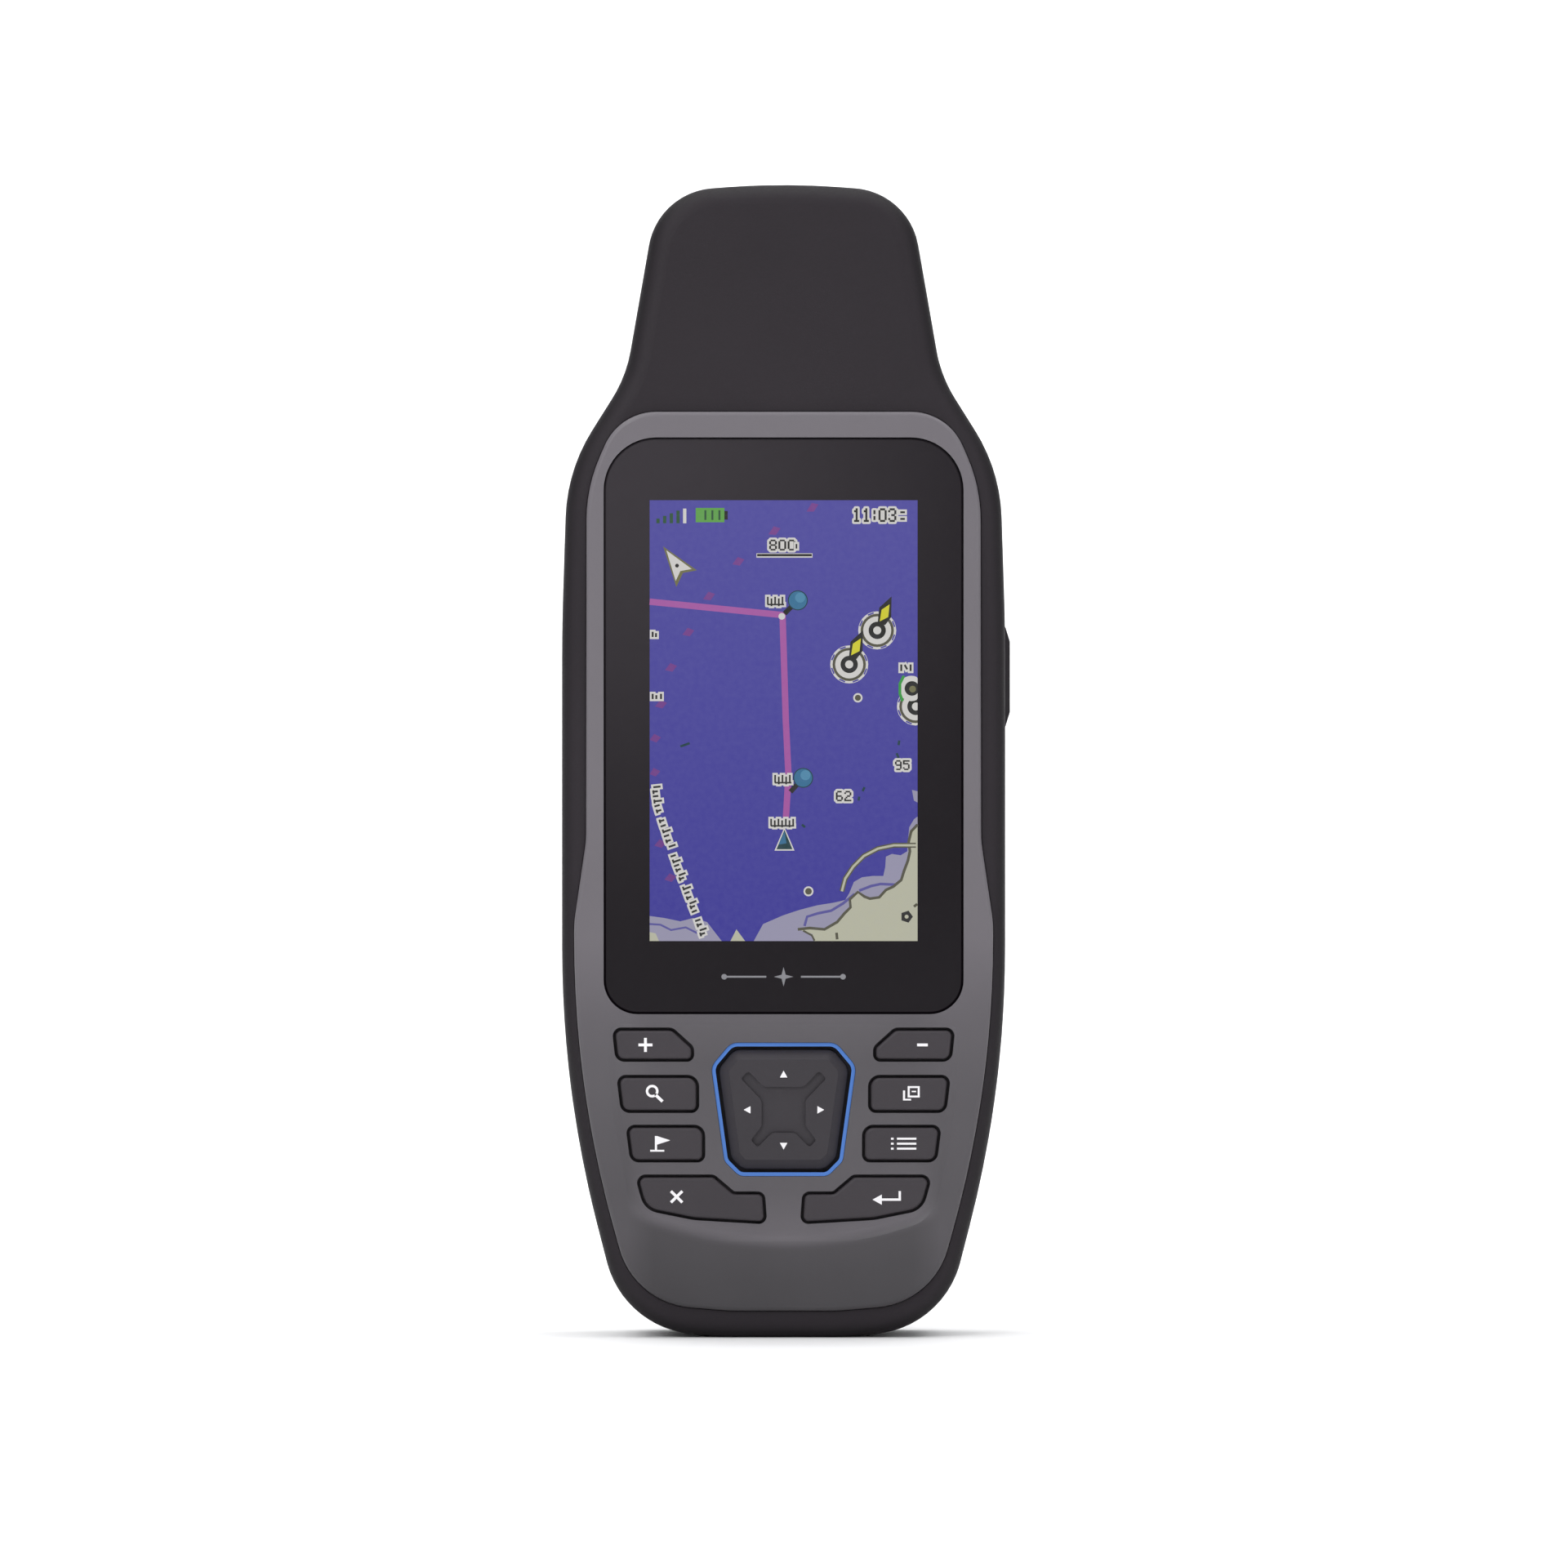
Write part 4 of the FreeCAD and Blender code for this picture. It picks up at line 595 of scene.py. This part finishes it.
# notes along the restricted line, as dashes
NOTE = [(0.7, 42.6), (1.0, 45.4), (1.9, 48.4), (2.9, 51.4), (3.9, 54.4), (4.9, 57.0), (6.0, 59.9),
        (7.1, 62.6), (8.0, 65.3)]
note_marks = []
for i, ((x0, y0), (x1, y1)) in enumerate(zip(NOTE, NOTE[1:])):
    tilt = math.degrees(math.atan2(y1 - y0, x1 - x0))
    for j in range(4):
        share = (j + 0.5) / 4
        x, y = x0 + (x1 - x0) * share, y0 + (y1 - y0) * share
        if (i * 4 + j) % 7 == 6:
            continue
        lift = 0.35 if (i + j) % 3 == 0 else 0
        note_marks.append((x + lift, y, 0.55 if lift else 0.42, tilt + 90, 0.3))
        if j % 2:
            note_marks.append((x - 0.25, y + 0.1, 0.3, tilt, 0.28))
dashes(note_marks)
# status row, scale bar and north arrow
for i, tall in enumerate((0.7, 1.1, 1.5, 1.9, 2.2)):
    paint("white" if tall > 2 else "green_dark", bar(1.0 + i, 3.45 - tall, 1.5 + i, 3.45))
paint("green", bar(6.9, 1.15, 11.2, 3.3))
paint("green_dark", *[bar(x, 1.5, x + 0.3, 2.95) for x in (8.2, 9.25, 10.3)])
paint("dark", bar(11.2, 1.6, 11.7, 2.9))
number_label("11:03", 30.4, 1.2, 0.23, 0.29)
dashes([(37.9, 1.8, 0.35, 0, 0.3), (37.9, 2.8, 0.35, 0, 0.3)])
number_label("800", 17.9, 5.9, 0.22, 0.23)
dashes([(22.0, 6.9, 0.35, 90, 0.25)])
paint("white", bar(16.0, 7.95, 24.4, 8.6))
paint("dark", bar(16.1, 8.05, 24.3, 8.4))
paint("olive", [(2.0, 6.9), (7.1, 10.5), (5.0, 10.9), (4.0, 13.0)])
paint("white", [(2.5, 7.5), (6.3, 10.3), (4.6, 10.6), (3.9, 12.1)])
paint("dark", disc(4.1, 9.8, 0.3, 8))

# the window: a black printed border round the chart, with a bevelled rim
BEVEL = 0.25
TOP_RADIUS, LOW_RADIUS = 7.8, 5.0
CORNER_STEPS = 12


def lens_ring(inset, y):
    """The window's outline at some inset from its full size, with larger radii at the top."""
    x1, z0, z1 = lens_high.x / MM - inset, lens_low.z / MM + inset, lens_high.z / MM - inset
    points = []
    for cx, cz, full_radius, start in ((x1, z1, TOP_RADIUS, 0), (-x1, z1, TOP_RADIUS, 90),
                                       (-x1, z0, LOW_RADIUS, 180), (x1, z0, LOW_RADIUS, 270)):
        radius = full_radius - inset
        centre_x = cx - math.copysign(radius, cx)
        centre_z = cz - math.copysign(radius, cz - (z0 + z1) / 2)
        for i in range(CORNER_STEPS + 1):
            angle = math.radians(start + 90 * i / CORNER_STEPS)
            points.append((centre_x + radius * math.cos(angle), y, centre_z + radius * math.sin(angle)))
    return points


front_y, back_y = lens_low.y / MM, lens_high.y / MM
rim = lens_ring(BEVEL, front_y)
shapes = [("black", [(x, z) for x, _, z in rim])]
shapes += [(colour, [(screen_left + x, screen_top - y) for x, y in outline]) for colour, outline in chart]
STAR_Z = 54.4
STAR_REACH = (1.45, 0.42)
star = []
for i in range(8):
    reach = STAR_REACH[i % 2]
    star.append((reach * math.sin(math.tau * i / 8), STAR_Z + reach * math.cos(math.tau * i / 8)))
shapes.append(("print", star))
for side in (-1, 1):
    shapes.append(("print", bar(side * 2.6, STAR_Z - 0.14, side * 8.6, STAR_Z + 0.14)))
    shapes.append(("print", disc(side * 8.9, STAR_Z, 0.42, 16)))
flat, triangles = partition([outline for _, outline in shapes])
names = ["black", "print"] + list(INKS)
materials = [LENS_BLACK, PRINT_GREY] + list(INKS.values())
points = [(p.x, front_y, p.y) for p in flat]
faces = [tuple(t) for t, _ in triangles]
indices = [names.index(shapes[owner][0]) for _, owner in triangles]
for outline in (rim, lens_ring(0, front_y + BEVEL), lens_ring(0, back_y)):
    start = len(points)
    points += outline
    if start > len(flat):
        before = start - len(outline)
        for i in range(len(outline)):
            j = (i + 1) % len(outline)
            faces.append((before + i, before + j, start + j, start + i))
            indices.append(0)
faces.append(tuple(range(len(points) - len(rim), len(points))))
indices.append(0)
window = mesh_object("display_window", [Vector(p) * MM for p in points], faces, materials, indices)
tidy = bmesh.new()
tidy.from_mesh(window.data)
bmesh.ops.remove_doubles(tidy, verts=tidy.verts, dist=1e-7)
bmesh.ops.recalc_face_normals(tidy, faces=tidy.faces)
tidy.to_mesh(window.data)
tidy.free()
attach(window, "case")
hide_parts("display_lens")


# ---------------------------------------------------------------- key legends

LEGEND_WHITE = moulded("legend_white", linear(232, 230, 232), 0.45, grain=0.2, depth=0.003, mottle=0.02)
RAISED = 0.05


def legend(name, node, body, outlines):
    """Print on a key: outlines in mm across the front, laid on the node's own surface."""
    tree = BVHTree.FromPolygons([v.co.copy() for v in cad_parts[node].data.vertices],
                                [tuple(p.vertices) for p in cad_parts[node].data.polygons])
    flat, triangles = partition(outlines)
    front = []
    for point in flat:
        hit = tree.ray_cast(Vector((point.x * MM, -0.1, point.y * MM)), Vector((0, 1, 0)))[0]
        front.append(Vector((point.x * MM, hit.y - RAISED * MM, point.y * MM)))
    made = mesh_object(name, front, [tuple(t) for t, _ in triangles], [LEGEND_WHITE], [0] * len(triangles))
    work = bmesh.new()
    work.from_mesh(made.data)
    bmesh.ops.dissolve_limit(work, angle_limit=0.002, verts=work.verts, edges=work.edges)
    top = list(work.faces)
    sides = bmesh.ops.extrude_face_region(work, geom=top)
    for item in sides["geom"]:
        if isinstance(item, bmesh.types.BMVert):
            item.co.y += 2 * RAISED * MM
    bmesh.ops.triangulate(work, faces=work.faces)
    bmesh.ops.recalc_face_normals(work, faces=work.faces)
    work.to_mesh(made.data)
    work.free()
    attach(made, body)
    return made


def arrowhead(x, z, reach, turn):
    """A small triangle that points right, turned by some degrees."""
    a = math.radians(turn)
    corners = ((reach * 0.62, 0), (-reach * 0.38, reach * 0.55), (-reach * 0.38, -reach * 0.55))
    across, up = math.cos(a), math.sin(a)
    return [(x + u * across - v * up, z + u * up + v * across) for u, v in corners]


def hoop(x, z, outer, inner, gap_from=0, gap_to=0, steps=28):
    """A ring, or an arc that leaves out the angles from gap_from to gap_to."""
    span = 360 - (gap_to - gap_from)
    angles = [math.radians(gap_to + span * i / steps) for i in range(steps + 1)]
    arc = [(x + (outer + inner) / 2 * math.cos(a), z + (outer + inner) / 2 * math.sin(a)) for a in angles]
    return stroke(arc, outer - inner)


for name, x, z, turn in (("up", 0, 39.7, 90), ("down", 0, 29.1, 270), ("left", -5.35, 34.45, 180),
                         ("right", 5.45, 34.45, 0)):
    legend("rocker_arrow_" + name, "rocker_pad", "rocker", [arrowhead(x, z, 1.02, turn)])
SIGNS = {
    "key_zoom_in": [bar(-21.75, 43.98, -19.65, 44.4), bar(-20.91, 43.14, -20.49, 45.24)],
    "key_zoom_out": [bar(20.0, 43.98, 21.6, 44.4)],
    "key_find": [hoop(-19.7, 37.25, 0.95, 0.58, 300, 330), stroke([(-19.15, 36.65), (-18.15, 35.7)], 0.45)],
    "key_page": [bar(17.9, 35.85, 18.2, 37.35), bar(17.9, 35.85, 19.1, 36.1),
                 bar(18.6, 36.3, 18.9, 38.0), bar(20.1, 36.3, 20.4, 38.0), bar(18.6, 37.72, 20.4, 38.0),
                 bar(18.6, 36.3, 20.4, 36.58), bar(19.2, 37.1, 19.85, 37.3)],
    "key_mark": [bar(-19.3, 28.4, -18.98, 30.5), [(-18.98, 30.5), (-17.0, 29.85), (-18.98, 29.2)],
                 bar(-20.0, 28.15, -17.9, 28.42)],
    "key_menu": [bar(17.0, 28.45 + i * 0.75, 19.9, 28.75 + i * 0.75) for i in range(3)]
                + [bar(16.1, 28.45 + i * 0.75, 16.5, 28.75 + i * 0.75) for i in range(3)],
    "key_quit": [stroke([(-16.9, 20.5), (-15.2, 22.2)], 0.42), stroke([(-16.9, 22.2), (-15.2, 20.5)], 0.42)],
    "key_enter": [bar(14.2, 20.75, 17.6, 21.1), bar(17.25, 20.75, 17.6, 22.2),
                  arrowhead(14.2, 20.92, 1.4, 180)],
}
for node, outlines in SIGNS.items():
    legend(node + "_sign", node, node, outlines)


# ---------------------------------------------------------------- stage, light and camera

floor_points, floor_faces = [], []
FLOOR_HALF, FLOOR_END, SWEEP = 4.0, 1.2, 0.9
profile = [(-FLOOR_HALF, 0.0), (FLOOR_END, 0.0)]
for degrees in range(6, 91, 6):
    angle = math.radians(degrees)
    profile.append((FLOOR_END + SWEEP * math.sin(angle), SWEEP - SWEEP * math.cos(angle)))
profile.append((FLOOR_END + SWEEP, FLOOR_HALF))
for y, z in profile:
    floor_points += [(-FLOOR_HALF, y, z), (FLOOR_HALF, y, z)]
for i in range(len(profile) - 1):
    floor_faces.append((2 * i, 2 * i + 1, 2 * i + 3, 2 * i + 2))
PALE = moulded("floor_paper", linear(238, 238, 238), 0.9, grain=1.5, depth=0.01, mottle=0.01)
floor = mesh_object("floor", floor_points, floor_faces, [PALE], [0] * len(floor_faces))
for polygon in floor.data.polygons:
    polygon.use_smooth = True

centre = (CAD_BOX[0] + CAD_BOX[1]) / 2


def softbox(name, place, size, power, aim=centre):
    light = bpy.data.lights.new(name, "AREA")
    light.shape = "RECTANGLE"
    light.size, light.size_y = size
    light.energy = power
    made = bpy.data.objects.new(name, light)
    made.location = place
    made.rotation_euler = (Vector(aim) - Vector(place)).to_track_quat("-Z", "Y").to_euler()
    bpy.context.scene.collection.objects.link(made)


softbox("key_light", (-0.75, -1.3, 0.95), (0.8, 0.8), 11)
softbox("fill_light", (1.2, -1.2, 0.5), (0.9, 0.9), 4.5)
softbox("top_light", (0.0, -0.1, 1.6), (2.2, 1.6), 26)
softbox("wall_light", (0.0, 0.5, 1.3), (2.4, 0.6), 30, (0.0, 2.1, 0.2))
world = bpy.data.worlds.new("studio")
world.use_nodes = True
world.node_tree.nodes["Background"].inputs["Color"].default_value = (0.95, 0.96, 1.0, 1.0)
world.node_tree.nodes["Background"].inputs["Strength"].default_value = 0.4
bpy.context.scene.world = world

VIEW_WIDTH, DISTANCE = 0.2349, 1.6
AIM_ASIDE, AIM_DROP = 0.00006, 0.00346
camera_data = bpy.data.cameras.new("camera")
camera_data.sensor_width = 36
camera_data.lens = camera_data.sensor_width * DISTANCE / VIEW_WIDTH
camera_data.clip_start, camera_data.clip_end = 0.05, 20
camera = bpy.data.objects.new("camera", camera_data)
camera.location = (AIM_ASIDE, CAD_BOX[0].y - DISTANCE, centre.z - AIM_DROP)
camera.rotation_euler = (math.pi / 2, 0, 0)
bpy.context.scene.collection.objects.link(camera)
bpy.context.scene.camera = camera
bpy.context.scene.view_settings.view_transform = "Standard"
